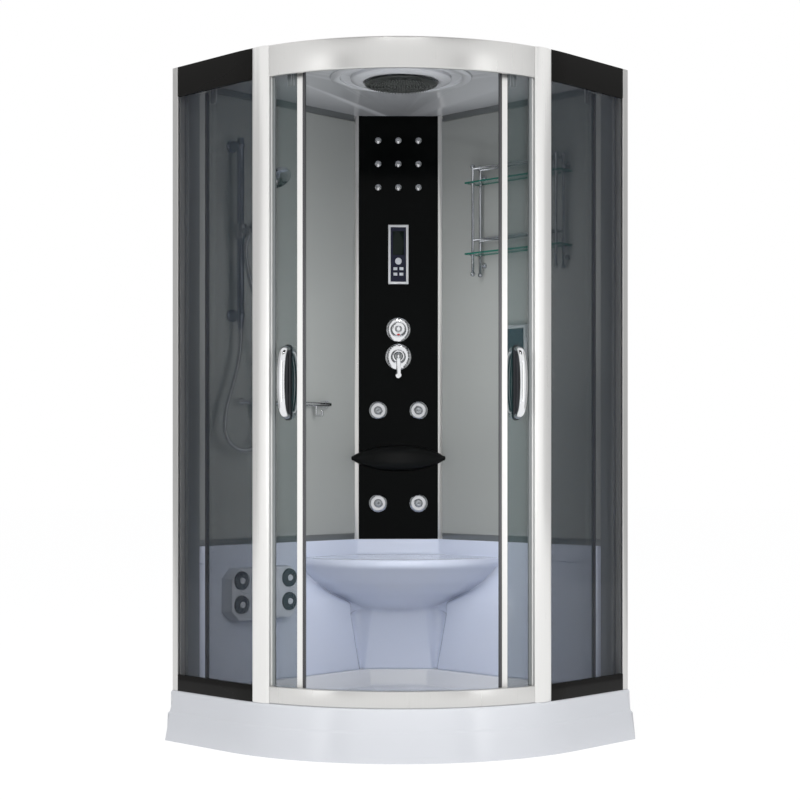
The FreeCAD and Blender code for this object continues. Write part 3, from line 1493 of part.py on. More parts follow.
def make_handset():
    bore = sheet.cup_bore - sheet.cup_bore_gap
    root = sheet.handset_root
    plug = Part.makeCylinder(bore, sheet.cup_half_height + root, V(0, 0, -root))
    grip = Part.makeCone(sheet.handset_grip_radius, sheet.handset_tip_radius, sheet.handset_neck,
                         V(0, 0, sheet.cup_half_height))
    reach = sheet.handset_reach
    neck = Part.makeCone(sheet.handset_tip_radius, sheet.handset_grip_radius,
                         reach - sheet.handset_neck - sheet.cup_half_height,
                         V(0, 0, sheet.handset_neck + sheet.cup_half_height))
    head = Part.makeCone(sheet.handset_back_radius, sheet.handset_head_radius, sheet.handset_head_depth / 2,
                         V(0, 0, -sheet.handset_head_depth / 2))
    head = head.fuse(Part.makeCylinder(sheet.handset_head_radius, sheet.handset_head_depth / 2))
    head.rotate(V(), X_AXIS, -sheet.handset_head_turn)
    head.translate(V(0, 0, reach))
    return plug.fuse([grip, neck, head]).removeSplitter()


part("holder_cup", leaning(make_cup()))
part("handset", leaning(make_handset()))

# Hose: a free loop from the outlet under the riser rail up into the cup, as corners of its route
# The route's corners from the outlet, along the wall, off it and up, in shares of the hose grid
HOSE_ROUTE_SHARES = [
    (0, 0, 0),
    (0, 0, -0.45),
    (0.11, 0.01, -1.05),
    (0.37, 0.04, -1.75),
    (0.67, 0.08, -2.49),
    (0.76, 0.12, -3.25),
    (0.34, 0.17, -3.69),
    (-0.28, 0.22, -3.7),
    (-0.71, 0.26, -3.26),
    (-0.81, 0.29, -2.55),
    (-0.78, 0.31, -1.79),
    (-0.68, 0.32, -0.99),
    (-0.53, 0.33, -0.19),
    (-0.36, 0.33, 0.61),
    (-0.2, 0.28, 1.36),
    (-0.08, 0.22, 1.85),
    (-0.02, 0.205, 2.3),
    (0, 0.2737, 2.6848),
    (0, 0.452, 2.913),
]
ROUND_SHARE = 0.45


def hose_route():
    """The route's corners in the corner frame."""
    outlet = V(sheet.rail_place, sheet.wall_back + sheet.glass_thickness + sheet.rail_standoff,
               sheet.rail_base - sheet.outlet_drop)
    return [outlet + V(*shares) * sheet.hose_grid for shares in HOSE_ROUTE_SHARES]


def route_wire(points):
    """Straight runs joined by tangent arcs as large as the runs allow."""
    edges = []
    at = points[0]
    for before, corner, after in zip(points, points[1:], points[2:]):
        back = (before - corner).normalize()
        ahead = (after - corner).normalize()
        setback = ROUND_SHARE * min((before - corner).Length, (after - corner).Length)
        first = corner + back * setback
        last = corner + ahead * setback
        half_turn = (math.pi - back.getAngle(ahead)) / 2
        radius = setback / math.tan(half_turn)
        middle_way = (back + ahead).normalize()
        middle = corner + middle_way * (radius / math.cos(half_turn) - radius)
        print("hose bend radius %.0f mm" % radius)
        edges += [line(at, first), Part.Arc(first, middle, last).toShape()]
        at = last
    edges.append(line(at, points[-1]))
    return Part.Wire(edges)


def make_hose():
    route = hose_route()
    path = route_wire(route)
    section = Part.Wire(Part.makeCircle(sheet.hose_radius, route[0], route[1] - route[0]))
    tube = path.makePipeShell([section], True, True)
    expected = path.Length * math.pi * sheet.hose_radius ** 2
    print("hose length %.0f mm, volume share %.4f" % (path.Length, tube.Volume / expected))
    return tube


part("shower_hose", in_corner(shaped(make_hose())))

# Towel rail close to the left wall with three J hooks
hook_y = "(%s + hook_rail_standoff)" % WALL_FACE
hook_bits = [rod("hook_rail_radius", "hook_rail_length", "hook_rail_start", hook_y, "hook_rail_height", "x")]
for mount_x in ("hook_rail_start + hook_rail_inset", "hook_rail_start + hook_rail_length - hook_rail_inset"):
    hook_bits.append(rod("hook_rail_mount", "hook_rail_standoff", mount_x, WALL_FACE, "hook_rail_height", "y"))
for step in range(3):
    hook_x = "hook_rail_start + hook_first + %d * hook_pitch" % step
    low_z = "hook_rail_height - hook_drop"
    hook_bits.append(rod("hook_wire", "hook_drop", hook_x, hook_y, low_z))
    hook_bits.append(ball("hook_wire", hook_x, hook_y, low_z))
    hook_bits.append(rod("hook_wire", "hook_radius * 2", hook_x, hook_y, low_z, "y"))
    hook_bits.append(rod("hook_wire", "hook_radius", hook_x, hook_y + " + hook_radius * 2", low_z))
    hook_bits.append(ball("hook_wire * 1.5", hook_x, hook_y + " + hook_radius * 2", low_z + " + hook_radius"))
part("towel_rail", in_corner(fuse(hook_bits)))


# Foot massager on the left wing: a bevelled box with four wheels set in wells
def massager_outline(shrink, depth):
    """A rectangle with cut corners, facing away from the wing."""
    half = sheet.massager_width / 2 - shrink
    low = sheet.massager_base + shrink / 2
    high = sheet.massager_base + sheet.massager_height - shrink / 2
    cut_size = sheet.massager_corner
    y = sheet.moulding_face + depth
    centre = sheet.massager_centre
    points = [
        V(centre - half + cut_size, y, low), V(centre + half - cut_size, y, low),
        V(centre + half, y, low + cut_size), V(centre + half, y, high - cut_size),
        V(centre + half - cut_size, y, high), V(centre - half + cut_size, y, high),
        V(centre - half, y, high - cut_size), V(centre - half, y, low + cut_size),
    ]
    return Part.makePolygon(points + points[:1])


massager_front = "(moulding_face + massager_depth)"
massager_block = shaped(Part.makeLoft([
    massager_outline(0, 0),
    massager_outline(0, sheet.massager_depth / 2),
    massager_outline(sheet.massager_bevel, sheet.massager_depth),
], True, True))
WHEEL_PLACES = [(side, row) for row in ("massager_wheel_high", "massager_wheel_low") for side in (-1, 1)]
wheel_floor = massager_front + " + massager_wheel_proud - massager_wheel_depth"
wells = []
pins = []
for side, row_height in WHEEL_PLACES:
    x = "massager_centre + %d * massager_half_pitch" % side
    wells.append(rod("massager_wheel_radius + running_gap * 3", "massager_depth", x,
                     wheel_floor + " - running_gap", row_height, "y"))
    pins.append(rod("massager_pin_radius", "massager_wheel_depth - massager_hub_depth", x,
                    wheel_floor + " - running_gap", row_height, "y"))
button = fuse([
    box("(massager_button_half_width - massager_button_radius) * 2", "massager_button_proud * 2",
        "massager_button_radius * 2", "massager_centre - massager_button_half_width + massager_button_radius",
        massager_front + " - massager_button_proud",
        "massager_base + massager_height / 2 - massager_button_radius"),
    rod("massager_button_radius", "massager_button_proud * 2",
        "massager_centre - massager_button_half_width + massager_button_radius",
        massager_front + " - massager_button_proud", "massager_base + massager_height / 2", "y"),
    rod("massager_button_radius", "massager_button_proud * 2",
        "massager_centre + massager_button_half_width - massager_button_radius",
        massager_front + " - massager_button_proud", "massager_base + massager_height / 2", "y"),
])
part("foot_massager", in_corner(fuse([cut(massager_block, group(wells)), button] + pins)))

for number, (side, row_height) in enumerate(WHEEL_PLACES, start=1):
    x = "massager_centre + %d * massager_half_pitch" % side
    rim = rod("massager_wheel_radius", "massager_wheel_depth", x, wheel_floor, row_height, "y")
    hub = rod("massager_hub_radius", "massager_hub_depth",
              x, wheel_floor + " + massager_wheel_depth", row_height, "y")
    axle_hole = rod("massager_pin_radius + axle_gap", "massager_wheel_depth - massager_hub_depth + overrun", x,
                    wheel_floor + " - overrun", row_height, "y")
    part("massage_wheel_%d" % number, in_corner(cut(fuse([rim, hub]), axle_hole)))

# Soap box on the right wall: a chrome case with a dark window and an open tray at its foot
soap_case = box("soap_depth", "soap_width", "soap_height", WALL_FACE, "soap_start", "soap_base")
soap_window = box("soap_window_depth + overrun", "soap_width - soap_border * 2",
                  "soap_height - soap_border * 2 - soap_tray_height",
                  WALL_FACE + " + soap_depth - soap_window_depth", "soap_start + soap_border",
                  "soap_base + soap_border + soap_tray_height")
soap_hollow = box("soap_depth - soap_tray_wall * 2", "soap_width - soap_tray_wall * 2",
                  "soap_tray_height - soap_tray_wall", WALL_FACE + " + soap_tray_wall",
                  "soap_start + soap_tray_wall", "soap_base + soap_tray_wall")
soap_mouth = box("soap_depth", "soap_width - soap_border * 2", "soap_tray_height / 2",
                 WALL_FACE + " + soap_border", "soap_start + soap_border",
                 "soap_base + soap_tray_height / 2 - soap_tray_wall")
part("soap_box", in_corner(cut(soap_case, fuse([soap_window, soap_hollow, soap_mouth]))))

doc.recompute()

# Every object and every solid is checked before anything is written
broken = [obj.Label for obj in doc.Objects if "Invalid" in obj.State or "Error" in obj.State]
if broken:
    raise SystemExit("objects that failed: " + ", ".join(broken))
for obj in PARTS:
    if obj.Shape.isNull() or not obj.Shape.isValid() or not obj.Shape.Solids:
        raise SystemExit("not a valid solid: " + obj.Label)

os.makedirs("parts", exist_ok=True)
for obj in PARTS:
    obj.Shape.exportStep("parts/%s.step" % obj.Label)
print("%d sub-parts written" % len(PARTS))
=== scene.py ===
import json
import math
import bmesh
import bpy
import numpy as np
from mathutils import Matrix, Vector


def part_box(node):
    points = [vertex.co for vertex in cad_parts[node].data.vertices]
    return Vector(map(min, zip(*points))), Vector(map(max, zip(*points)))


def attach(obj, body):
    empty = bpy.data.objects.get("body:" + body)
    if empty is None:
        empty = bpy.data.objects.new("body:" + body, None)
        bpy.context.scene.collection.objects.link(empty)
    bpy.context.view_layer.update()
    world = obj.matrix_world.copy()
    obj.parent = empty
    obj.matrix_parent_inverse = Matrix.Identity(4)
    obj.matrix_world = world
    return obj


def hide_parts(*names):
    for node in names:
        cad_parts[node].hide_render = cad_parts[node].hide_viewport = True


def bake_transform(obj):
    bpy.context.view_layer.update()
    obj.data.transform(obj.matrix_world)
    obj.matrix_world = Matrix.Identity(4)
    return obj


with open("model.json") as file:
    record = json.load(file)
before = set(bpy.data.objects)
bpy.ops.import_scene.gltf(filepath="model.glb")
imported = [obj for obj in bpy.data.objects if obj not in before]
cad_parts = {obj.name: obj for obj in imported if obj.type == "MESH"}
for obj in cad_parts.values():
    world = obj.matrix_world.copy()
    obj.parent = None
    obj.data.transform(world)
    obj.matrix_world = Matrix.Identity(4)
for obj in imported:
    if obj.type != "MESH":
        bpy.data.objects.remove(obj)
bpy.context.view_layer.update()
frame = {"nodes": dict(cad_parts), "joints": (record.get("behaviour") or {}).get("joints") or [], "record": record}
nodes = frame["nodes"]

# Photographer's place: a level camera with a long lens, a little left of the middle, which looks in through
# the open doorway. The shift up keeps the cabin's uprights parallel.
camera = bpy.data.objects.new("camera", bpy.data.cameras.new("camera"))
bpy.context.scene.collection.objects.link(camera)
bpy.context.scene.camera = camera
camera.location = (-0.079, -5.191, 0.837)
camera.rotation_euler = (math.pi / 2, 0, -0.0152)
camera.data.lens = 75.5
camera.data.sensor_width = 36
camera.data.shift_y = 0.0765

# White studio: a pale floor that keeps the cabin's shadow and a white surround, lit by a broad lamp from the
# front left, a weaker one from the right and two small ones inside. Dark cards give metal its darker bands.
WHITE = (1, 1, 1, 1)
SURROUND_TINT = (0.97, 0.98, 1, 1)
SURROUND_LIGHT = 0.48
FLOOR_HALF = 24
FLOOR_GLOW = 1.08
FLOOR_SEEN_SHARE = 0.86
CARD_BLACK = (0.01, 0.01, 0.01, 1)
CABIN_HEART = (0, 0, 1.2)
SIDE_CARD_GLOW = 0.5
bpy.context.scene.view_settings.view_transform = "Standard"


def link(tree, source, target):
    tree.links.new(source, target)


def maths(tree, operation, *values):
    """The output of a Math node whose inputs are given as numbers or as other outputs."""
    node = tree.nodes.new("ShaderNodeMath")
    node.operation = operation
    for socket, value in zip(node.inputs, values):
        if isinstance(value, (int, float)):
            socket.default_value = value
        else:
            link(tree, value, socket)
    return node.outputs[0]


def seen_rays(tree):
    """One where a camera, glossy or transmission ray looks, nothing elsewhere."""
    path = tree.nodes.new("ShaderNodeLightPath").outputs
    straight = maths(tree, "MAXIMUM", path["Is Camera Ray"], path["Is Glossy Ray"])
    return maths(tree, "MAXIMUM", straight, path["Is Transmission Ray"])


def mixed(tree, share, lit, seen, output):
    """What lights the scene and what is seen, joined by a share and led to the tree's output."""
    choice = tree.nodes.new("ShaderNodeMixShader")
    for number, source in enumerate((share, lit.outputs[0], seen.outputs[0])):
        link(tree, source, choice.inputs[number])
    link(tree, choice.outputs[0], tree.nodes.new(output).inputs[0])


def flat_sheet(name, half_across, half_high):
    """A level rectangle round the origin that belongs to the studio."""
    mesh = bpy.data.meshes.new(name)
    corners = [(x * half_across, y * half_high, 0) for x, y in ((-1, -1), (1, -1), (1, 1), (-1, 1))]
    mesh.from_pydata(corners, [], [(0, 1, 2, 3)])
    sheet = bpy.data.objects.new(name, mesh)
    bpy.context.scene.collection.objects.link(sheet)
    return sheet


world = bpy.data.worlds.new("studio")
bpy.context.scene.world = world
world.use_nodes = True
air = world.node_tree
air.nodes.clear()
surround = air.nodes.new("ShaderNodeBackground")
surround.inputs["Color"].default_value = WHITE
daylight = air.nodes.new("ShaderNodeBackground")
daylight.inputs["Color"].default_value = SURROUND_TINT
daylight.inputs["Strength"].default_value = SURROUND_LIGHT
mixed(air, seen_rays(air), daylight, surround, "ShaderNodeOutputWorld")

floor_paint = bpy.data.materials.new("studio floor")
floor_paint.use_nodes = True
floor_tree = floor_paint.node_tree
floor_tree.nodes.clear()
matt = floor_tree.nodes.new("ShaderNodeBsdfDiffuse")
matt.inputs["Color"].default_value = WHITE
glow = floor_tree.nodes.new("ShaderNodeEmission")
glow.inputs["Strength"].default_value = FLOOR_GLOW
seen_share = maths(floor_tree, "MULTIPLY", seen_rays(floor_tree), FLOOR_SEEN_SHARE)
mixed(floor_tree, seen_share, matt, glow, "ShaderNodeOutputMaterial")
flat_sheet("floor", FLOOR_HALF, FLOOR_HALF).data.materials.append(floor_paint)


def faced(place, aim):
    """The turn that faces something from its place to what it aims at."""
    return (Vector(aim) - Vector(place)).to_track_quat("-Z", "Y")


def studio_lamp(name, place, aim, size, power, reflected=True):
    """A soft rectangular lamp."""
    lamp = bpy.data.lights.new(name, "AREA")
    lamp.shape = "RECTANGLE"
    lamp.size, lamp.size_y = size
    lamp.energy = power
    stand = bpy.data.objects.new(name, lamp)
    bpy.context.scene.collection.objects.link(stand)
    stand.location = place
    stand.rotation_euler = faced(place, aim).to_euler()
    stand.visible_glossy = reflected
    return stand


def dark_card(name, place, size, glow=0.0):
    """A dark card, turned to the cabin, that only reflections see."""
    card = flat_sheet(name, size[0] / 2, size[1] / 2)
    card.data.transform(Matrix.Translation(place) @ faced(place, CABIN_HEART).to_matrix().to_4x4())
    card.visible_camera = False
    card.visible_diffuse = False
    card.visible_transmission = False
    card.visible_shadow = False
    paint = bpy.data.materials.new(name)
    paint.use_nodes = True
    shader = paint.node_tree.nodes["Principled BSDF"]
    for socket, value in (("Base Color", CARD_BLACK), ("Roughness", 1), ("Emission Color", WHITE),
                          ("Emission Strength", glow)):
        shader.inputs[socket].default_value = value
    card.data.materials.append(paint)


studio_lamp("key", (-2.6, -4.2, 3.4), (0, 0, 1), (2.4, 2.4), 85, reflected=False)
studio_lamp("fill", (3.2, -3.6, 1.8), (0, 0, 1), (1.6, 2.6), 52, reflected=False)
inside = studio_lamp("inside", (0.1, -0.8, 1.0), (-0.04, 0.35, 0.76), (0.5, 0.9), 3.5, reflected=False)
inside.data.spread = math.radians(120)
ceiling_wash = studio_lamp("ceiling wash", (0, -0.35, 1.1), (0, 0, 2), (0.3, 0.3), 1.6, reflected=False)
for lamp in (inside, ceiling_wash):
    lamp.visible_camera = False
    lamp.visible_transmission = False
for side, hand in (("left", -1), ("right", 1)):
    studio_lamp(f"{side} spot", (hand * 0.3, -2.4, 3.0), (0, 0.3, 0.4), (0.1, 0.1), 0.9)
    studio_lamp(f"{side} strip", (hand * 3.2, -4.0, 1.2), CABIN_HEART, (0.6, 3.2), 10)
    dark_card(f"{side} side card", (hand * 3.2, 0.2, 1.2), (3, 4.4), SIDE_CARD_GLOW)
dark_card("left card", (-2.9, -5.4, 1.3), (0.9, 3.4))
dark_card("right card", (3.1, -5.2, 1.3), (0.9, 3.4))
dark_card("high card", (0, -3.0, 4.3), (5, 1.7))

# Shower hose: a limp metal-look hose of spiral-wound strip. It drops from the outlet under the riser rail,
# swings in one loop and climbs into the tail of the handset. Places are given from the room corner behind the
# cabin, along the left wall, along the right wall and up.
CORNER = Vector((0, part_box("tray_shell")[1].y, 0))
ALONG_LEFT = Vector((-math.sqrt(0.5), -math.sqrt(0.5), 0))
ALONG_RIGHT = Vector((math.sqrt(0.5), -math.sqrt(0.5), 0))
UP = Vector((0, 0, 1))


def from_corner(along_left, along_right, height):
    """A point given by its distances along the left and right walls."""
    return CORNER + ALONG_LEFT * along_left + ALONG_RIGHT * along_right + UP * height


HOSE_DIAMETER = 0.014
HOSE_RIB_PITCH = 0.0034
HOSE_RIB_DEPTH = 0.0005
HOSE_SIDES = 14
HOSE_STEPS = 84
OFF_AXIS = (1, 0.3, 0.2)
SAME_POINT = 1e-6
NO_LENGTH = 1e-7
HOSE_ROUTE = [from_corner(*place) for place in (
    (0.770, 0.078, 1.241),
    (0.770, 0.078, 1.196),
    (0.781, 0.079, 1.136),
    (0.807, 0.082, 1.066),
    (0.837, 0.086, 0.992),
    (0.846, 0.090, 0.916),
    (0.804, 0.095, 0.872),
    (0.742, 0.100, 0.871),
    (0.699, 0.104, 0.915),
    (0.689, 0.107, 0.986),
    (0.692, 0.109, 1.062),
    (0.702, 0.110, 1.142),
    (0.717, 0.111, 1.222),
    (0.734, 0.111, 1.302),
    (0.750, 0.106, 1.377),
    (0.762, 0.100, 1.426),
    (0.768, 0.0985, 1.471),
    (0.770, 0.10537, 1.50948),
    (0.770, 0.1232, 1.5323),
)]


def route_points(route, steps):
    """Points along the smooth NURBS line that a cord's route controls."""
    curve = bpy.data.curves.new("route", "CURVE")
    curve.dimensions = "3D"
    curve.resolution_u = steps
    spline = curve.splines.new("NURBS")
    spline.points.add(len(route) - 1)
    for point, place in zip(spline.points, route):
        point.co = (*place, 1)
    spline.order_u = 3
    spline.use_endpoint_u = True
    holder = bpy.data.objects.new("route", curve)
    line = bpy.data.meshes.new_from_object(holder)
    points = np.array([v.co for v in line.vertices])
    bpy.data.objects.remove(holder)
    bpy.data.curves.remove(curve)
    bpy.data.meshes.remove(line)
    return points


def ring_faces(rings, sides, closed=False):
    """Quads between neighbouring rings of points, closed on themselves or with a face over each end."""
    faces = []
    for k in range(rings if closed else rings - 1):
        near = k * sides
        far = (k + 1) % rings * sides
        for j in range(sides):
            i = (j + 1) % sides
            faces.append((near + j, near + i, far + i, far + j))
    if not closed:
        faces.append(tuple(reversed(range(sides))))
        faces.append(tuple((rings - 1) * sides + j for j in range(sides)))
    return faces


def tube_along(points, radii, sides):
    """Rings of points round a path, carried along it without twisting, and the faces between them."""
    tangents = np.gradient(points, axis=0)
    tangents /= np.linalg.norm(tangents, axis=1)[:, None]
    side = np.cross(tangents[0], OFF_AXIS)
    rings = []
    angles = np.linspace(0, 2 * math.pi, sides, endpoint=False)
    for place, tangent, radius in zip(points, tangents, radii):
        side = side - tangent * np.dot(side, tangent)
        side /= np.linalg.norm(side)
        other = np.cross(tangent, side)
        rings.append(place + radius * (np.cos(angles)[:, None] * side + np.sin(angles)[:, None] * other))
    return np.concatenate(rings), ring_faces(len(rings), sides)


def make_mesh(name, points, faces, material, smooth_angle=40):
    """A mesh object at the origin with its normals outwards and its soft edges smooth."""
    mesh = bpy.data.meshes.new(name)
    mesh.from_pydata([tuple(p) for p in points], [], faces)
    built = bmesh.new()
    built.from_mesh(mesh)
    bmesh.ops.remove_doubles(built, verts=built.verts, dist=SAME_POINT)
    bmesh.ops.dissolve_degenerate(built, dist=NO_LENGTH, edges=built.edges)
    bmesh.ops.recalc_face_normals(built, faces=built.faces)
    built.to_mesh(mesh)
    built.free()
    mesh.shade_smooth()
    mesh.set_sharp_from_angle(angle=math.radians(smooth_angle))
    mesh.materials.append(material)
    piece = bpy.data.objects.new(name, mesh)
    bpy.context.scene.collection.objects.link(piece)
    return piece


ROUGHNESS_SWAY = 0.2
COAT_ROUGHNESS = 0.03
GRAIN_DEPTH = 0.001


def grain_group():
    """A shader group whose noise in Object coordinates breaks up colour, roughness and relief."""
    group = bpy.data.node_groups.new("surface grain", "ShaderNodeTree")
    for name, kind in (("Colour", "Color"), ("Mottle", "Float"), ("Roughness", "Float"), ("Grain", "Vector")):
        group.interface.new_socket(name, in_out="INPUT", socket_type=f"NodeSocket{kind}")
    for name, kind in (("Colour", "Color"), ("Roughness", "Float"), ("Height", "Float")):
        group.interface.new_socket(name, in_out="OUTPUT", socket_type=f"NodeSocket{kind}")
    given = group.nodes.new("NodeGroupInput")
    result = group.nodes.new("NodeGroupOutput")
    place = group.nodes.new("ShaderNodeTexCoord")
    mapping = group.nodes.new("ShaderNodeMapping")
    link(group, place.outputs["Object"], mapping.inputs["Vector"])
    link(group, given.outputs["Grain"], mapping.inputs["Scale"])
    noise = group.nodes.new("ShaderNodeTexNoise")
    noise.inputs["Scale"].default_value = 1
    noise.inputs["Detail"].default_value = 3
    link(group, mapping.outputs[0], noise.inputs["Vector"])
    sway = group.nodes.new("ShaderNodeMapRange")
    sway.inputs["To Min"].default_value = -1
    sway.inputs["To Max"].default_value = 1
    link(group, noise.outputs["Fac"], sway.inputs["Value"])
    mottle = maths(group, "MULTIPLY_ADD", sway.outputs[0], given.outputs["Mottle"], 1)
    wear = maths(group, "MULTIPLY_ADD", sway.outputs[0], ROUGHNESS_SWAY, 1)
    tint = group.nodes.new("ShaderNodeVectorMath")
    tint.operation = "SCALE"
    link(group, given.outputs["Colour"], tint.inputs[0])
    link(group, mottle, tint.inputs["Scale"])
    link(group, tint.outputs[0], result.inputs["Colour"])
    link(group, maths(group, "MULTIPLY", given.outputs["Roughness"], wear), result.inputs["Roughness"])
    link(group, noise.outputs["Fac"], result.inputs["Height"])
    return group


surface_grain = grain_group()


def finish(name, color, roughness, metallic=0.0, coat=0.0, ior=1.5, gloss=0.5, grain=40, mottle=0.03,
           bump=0.0, alpha=1.0):
    """A Principled material with the surface grain; a grain of three numbers is drawn out along an axis."""
    material = bpy.data.materials.new(name)
    material.use_nodes = True
    tree = material.node_tree
    shader = tree.nodes["Principled BSDF"]
    for socket, value in (("Metallic", metallic), ("Coat Weight", coat), ("Coat Roughness", COAT_ROUGHNESS),
                          ("IOR", ior), ("Specular IOR Level", gloss), ("Alpha", alpha)):
        shader.inputs[socket].default_value = value
    broken = tree.nodes.new("ShaderNodeGroup")
    broken.node_tree = surface_grain
    for socket, value in (("Colour", (*color, 1)), ("Mottle", mottle), ("Roughness", roughness),
                          ("Grain", grain if isinstance(grain, tuple) else (grain, grain, grain))):
        broken.inputs[socket].default_value = value
    link(tree, broken.outputs["Colour"], shader.inputs["Base Color"])
    link(tree, broken.outputs["Roughness"], shader.inputs["Roughness"])
    if bump:
        relief = tree.nodes.new("ShaderNodeBump")
        relief.inputs["Strength"].default_value = bump
        relief.inputs["Distance"].default_value = GRAIN_DEPTH
        link(tree, broken.outputs["Height"], relief.inputs["Height"])
        link(tree, relief.outputs[0], shader.inputs["Normal"])
    return material


hose_line = route_points(HOSE_ROUTE, HOSE_STEPS)
hose_run = np.concatenate([[0], np.cumsum(np.linalg.norm(np.diff(hose_line, axis=0), axis=1))])
hose_ribs = 0.5 - 0.5 * np.cos(2 * math.pi * hose_run / HOSE_RIB_PITCH)
hose_radii = HOSE_DIAMETER / 2 - HOSE_RIB_DEPTH * hose_ribs
hose_metal = finish("hose metal", (0.62, 0.63, 0.65), 0.22, metallic=1.0, grain=300, mottle=0.08)
hose = make_mesh("hose", *tube_along(hose_line, hose_radii, HOSE_SIDES), hose_metal, 60)
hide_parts("shower_hose")
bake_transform(hose)

# Tray: one sheet of white acrylic drawn over a mould, with a skirt in two tiers, a flat rim and a basin with
# a rounded floor. It stands on the floor and carries everything else. The doors turn about an upright line
# in the middle of its plan, so the front pieces are placed from that line.
DOOR_AXIS = Vector(next(j["pos_m"] for j in frame["joints"] if j["name"] == "left_door_slide"))
TRAY_SIDE = (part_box("tray_shell")[1].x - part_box("tray_shell")[0].x) / math.sqrt(2)
TRAY_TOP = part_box("tray_shell")[1].z
ARC_OFFSET = (CORNER.y - DOOR_AXIS.y) / math.sqrt(2)
DRAIN = (CORNER.y - (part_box("waste_grate")[0].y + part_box("waste_grate")[1].y) / 2) / math.sqrt(2)
TRAP_LIP = 0.003
FLOOR_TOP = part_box("waste_trap")[1].z - TRAP_LIP
TRAY_SKIN = 0.006
BASIN_RADIUS = 0.637
BASIN_SIDE = 0.062
BASIN_CORNER = 0.262
DRAIN_RADIUS = 0.045
RIM_RAYS = 360
SKIRT_PROFILE = ((0.0, 0.0), (0.0003, 0.004), (0.0085, 0.079), (0.0093, 0.0825), (0.0108, 0.0847),
                 (0.0124, 0.0872), (0.0131, 0.0905), (0.0195, 0.135), (0.0203, 0.1395), (0.0216, 0.1434),
                 (0.0238, 0.1465), (0.0268, 0.148))
BASIN_PROFILE = ((-0.004, 0.148), (-0.0018, 0.1474), (0.0, 0.1456), (0.001, 0.1425), (0.012, 0.103),
                 (0.0145, 0.0985), (0.019, 0.096), (0.026, 0.095))
CORNER_BEND = 0.98
SKIRT_STEPS = 120
BASIN_STEPS = 160
BASIN_UNDERSIDE = ((0.02, FLOOR_TOP - TRAY_SKIN), (-0.005, 0.13), (-0.009, TRAY_TOP - TRAY_SKIN))
SKIRT_INSIDE = ((0.033, TRAY_TOP - TRAY_SKIN), (TRAY_SKIN, 0.0))


def skirt_outline(inset, wall=0.0):
    """The tray's plan edge as a fine closed line, in distances along the left and right walls."""
    side = TRAY_SIDE - inset
    arc = np.linspace(0, math.pi / 2, SKIRT_STEPS)
    curve = np.column_stack([np.cos(arc), np.sin(arc)]) * (side - ARC_OFFSET) + ARC_OFFSET
    return np.vstack([[wall, wall], [side, wall], curve, [wall, side], [wall, wall]])


def basin_outline(shrink):
    """The basin's plan edge, with its chamfered back corner."""
    wall = BASIN_SIDE + shrink
    corner = BASIN_CORNER + shrink * math.sqrt(2) - wall
    start = math.asin((wall - ARC_OFFSET) / (BASIN_RADIUS - shrink))
    arc = np.linspace(start, math.pi / 2 - start, BASIN_STEPS)
    curve = np.column_stack([np.cos(arc), np.sin(arc)]) * (BASIN_RADIUS - shrink) + ARC_OFFSET
    return np.vstack([[corner, wall], curve, [wall, corner], [corner, wall]])


def on_rays(outline, angles):
    """Where rays from the drain meet an outline, so that rings of different shape match point for point."""
    rel = outline - DRAIN
    turn = np.unwrap(np.arctan2(rel[:, 1], rel[:, 0]))
    points = []
    for angle in angles:
        angle = turn[0] + (angle - turn[0]) % (2 * math.pi)
        k = min(max(int(np.searchsorted(turn, angle)) - 1, 0), len(turn) - 2)
        a, b = rel[k], rel[k + 1]
        way = np.array([math.cos(angle), math.sin(angle)])
        edge = b - a
        cross = way[0] * edge[1] - way[1] * edge[0]
        points.append(way * (a[0] * edge[1] - a[1] * edge[0]) / cross + DRAIN)
    return np.array(points)


def ray_angles(outlines):
    """Even rays with one through each sharp corner of the outlines."""
    corners = []
    for outline in outlines:
        rel = outline - DRAIN
        way = np.diff(outline, axis=0)
        long = np.linalg.norm(way, axis=1)
        turning = (way[1:] * way[:-1]).sum(axis=1) < CORNER_BEND * long[1:] * long[:-1]
        bends = [0] + [int(k) + 1 for k in np.flatnonzero(turning)]
        corners += [math.atan2(rel[k][1], rel[k][0]) for k in bends]
    even = np.linspace(-math.pi, math.pi, RIM_RAYS, endpoint=False)
    return np.unique(np.round(np.concatenate([even, corners]), 6))


def stacked_rings(rings):
    """Points of a closed stack of rings, given as plan points with heights, and the faces between them."""
    points = [from_corner(u, v, height) for ring, height in rings for u, v in ring]
    return points, ring_faces(len(rings), len(rings[0][0]), closed=True)


rays = ray_angles([skirt_outline(0.0), skirt_outline(SKIRT_PROFILE[-1][0]),
                   basin_outline(BASIN_PROFILE[0][0]), basin_outline(BASIN_PROFILE[-1][0])])
drain_circle = np.column_stack([np.cos(rays), np.sin(rays)]) * DRAIN_RADIUS + DRAIN
tray_rings = [(on_rays(skirt_outline(inset), rays), height) for inset, height in SKIRT_PROFILE]
tray_rings += [(on_rays(basin_outline(shrink), rays), height) for shrink, height in BASIN_PROFILE]
tray_rings += [(drain_circle, FLOOR_TOP), (drain_circle, FLOOR_TOP - TRAY_SKIN)]
tray_rings += [(on_rays(basin_outline(shrink), rays), height) for shrink, height in BASIN_UNDERSIDE]
tray_rings += [(on_rays(skirt_outline(inset, TRAY_SKIN), rays), height) for inset, height in SKIRT_INSIDE]


def stands_for(piece, slot, rides_on, *replaced):
    """The calls that tie a finished piece to its body and hide the CAD nodes that it stands for; its slot is not
    used.
    """
    if replaced:
        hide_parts(*replaced)
    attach(piece, rides_on)


acrylic = finish("white acrylic", (0.70, 0.715, 0.75), 0.2, coat=0.1, grain=9, mottle=0.006, bump=0.02)
tray = make_mesh("tray", *stacked_rings(tray_rings), acrylic, 35)
stands_for(tray, "white_acrylic", "cabin", "tray_shell")


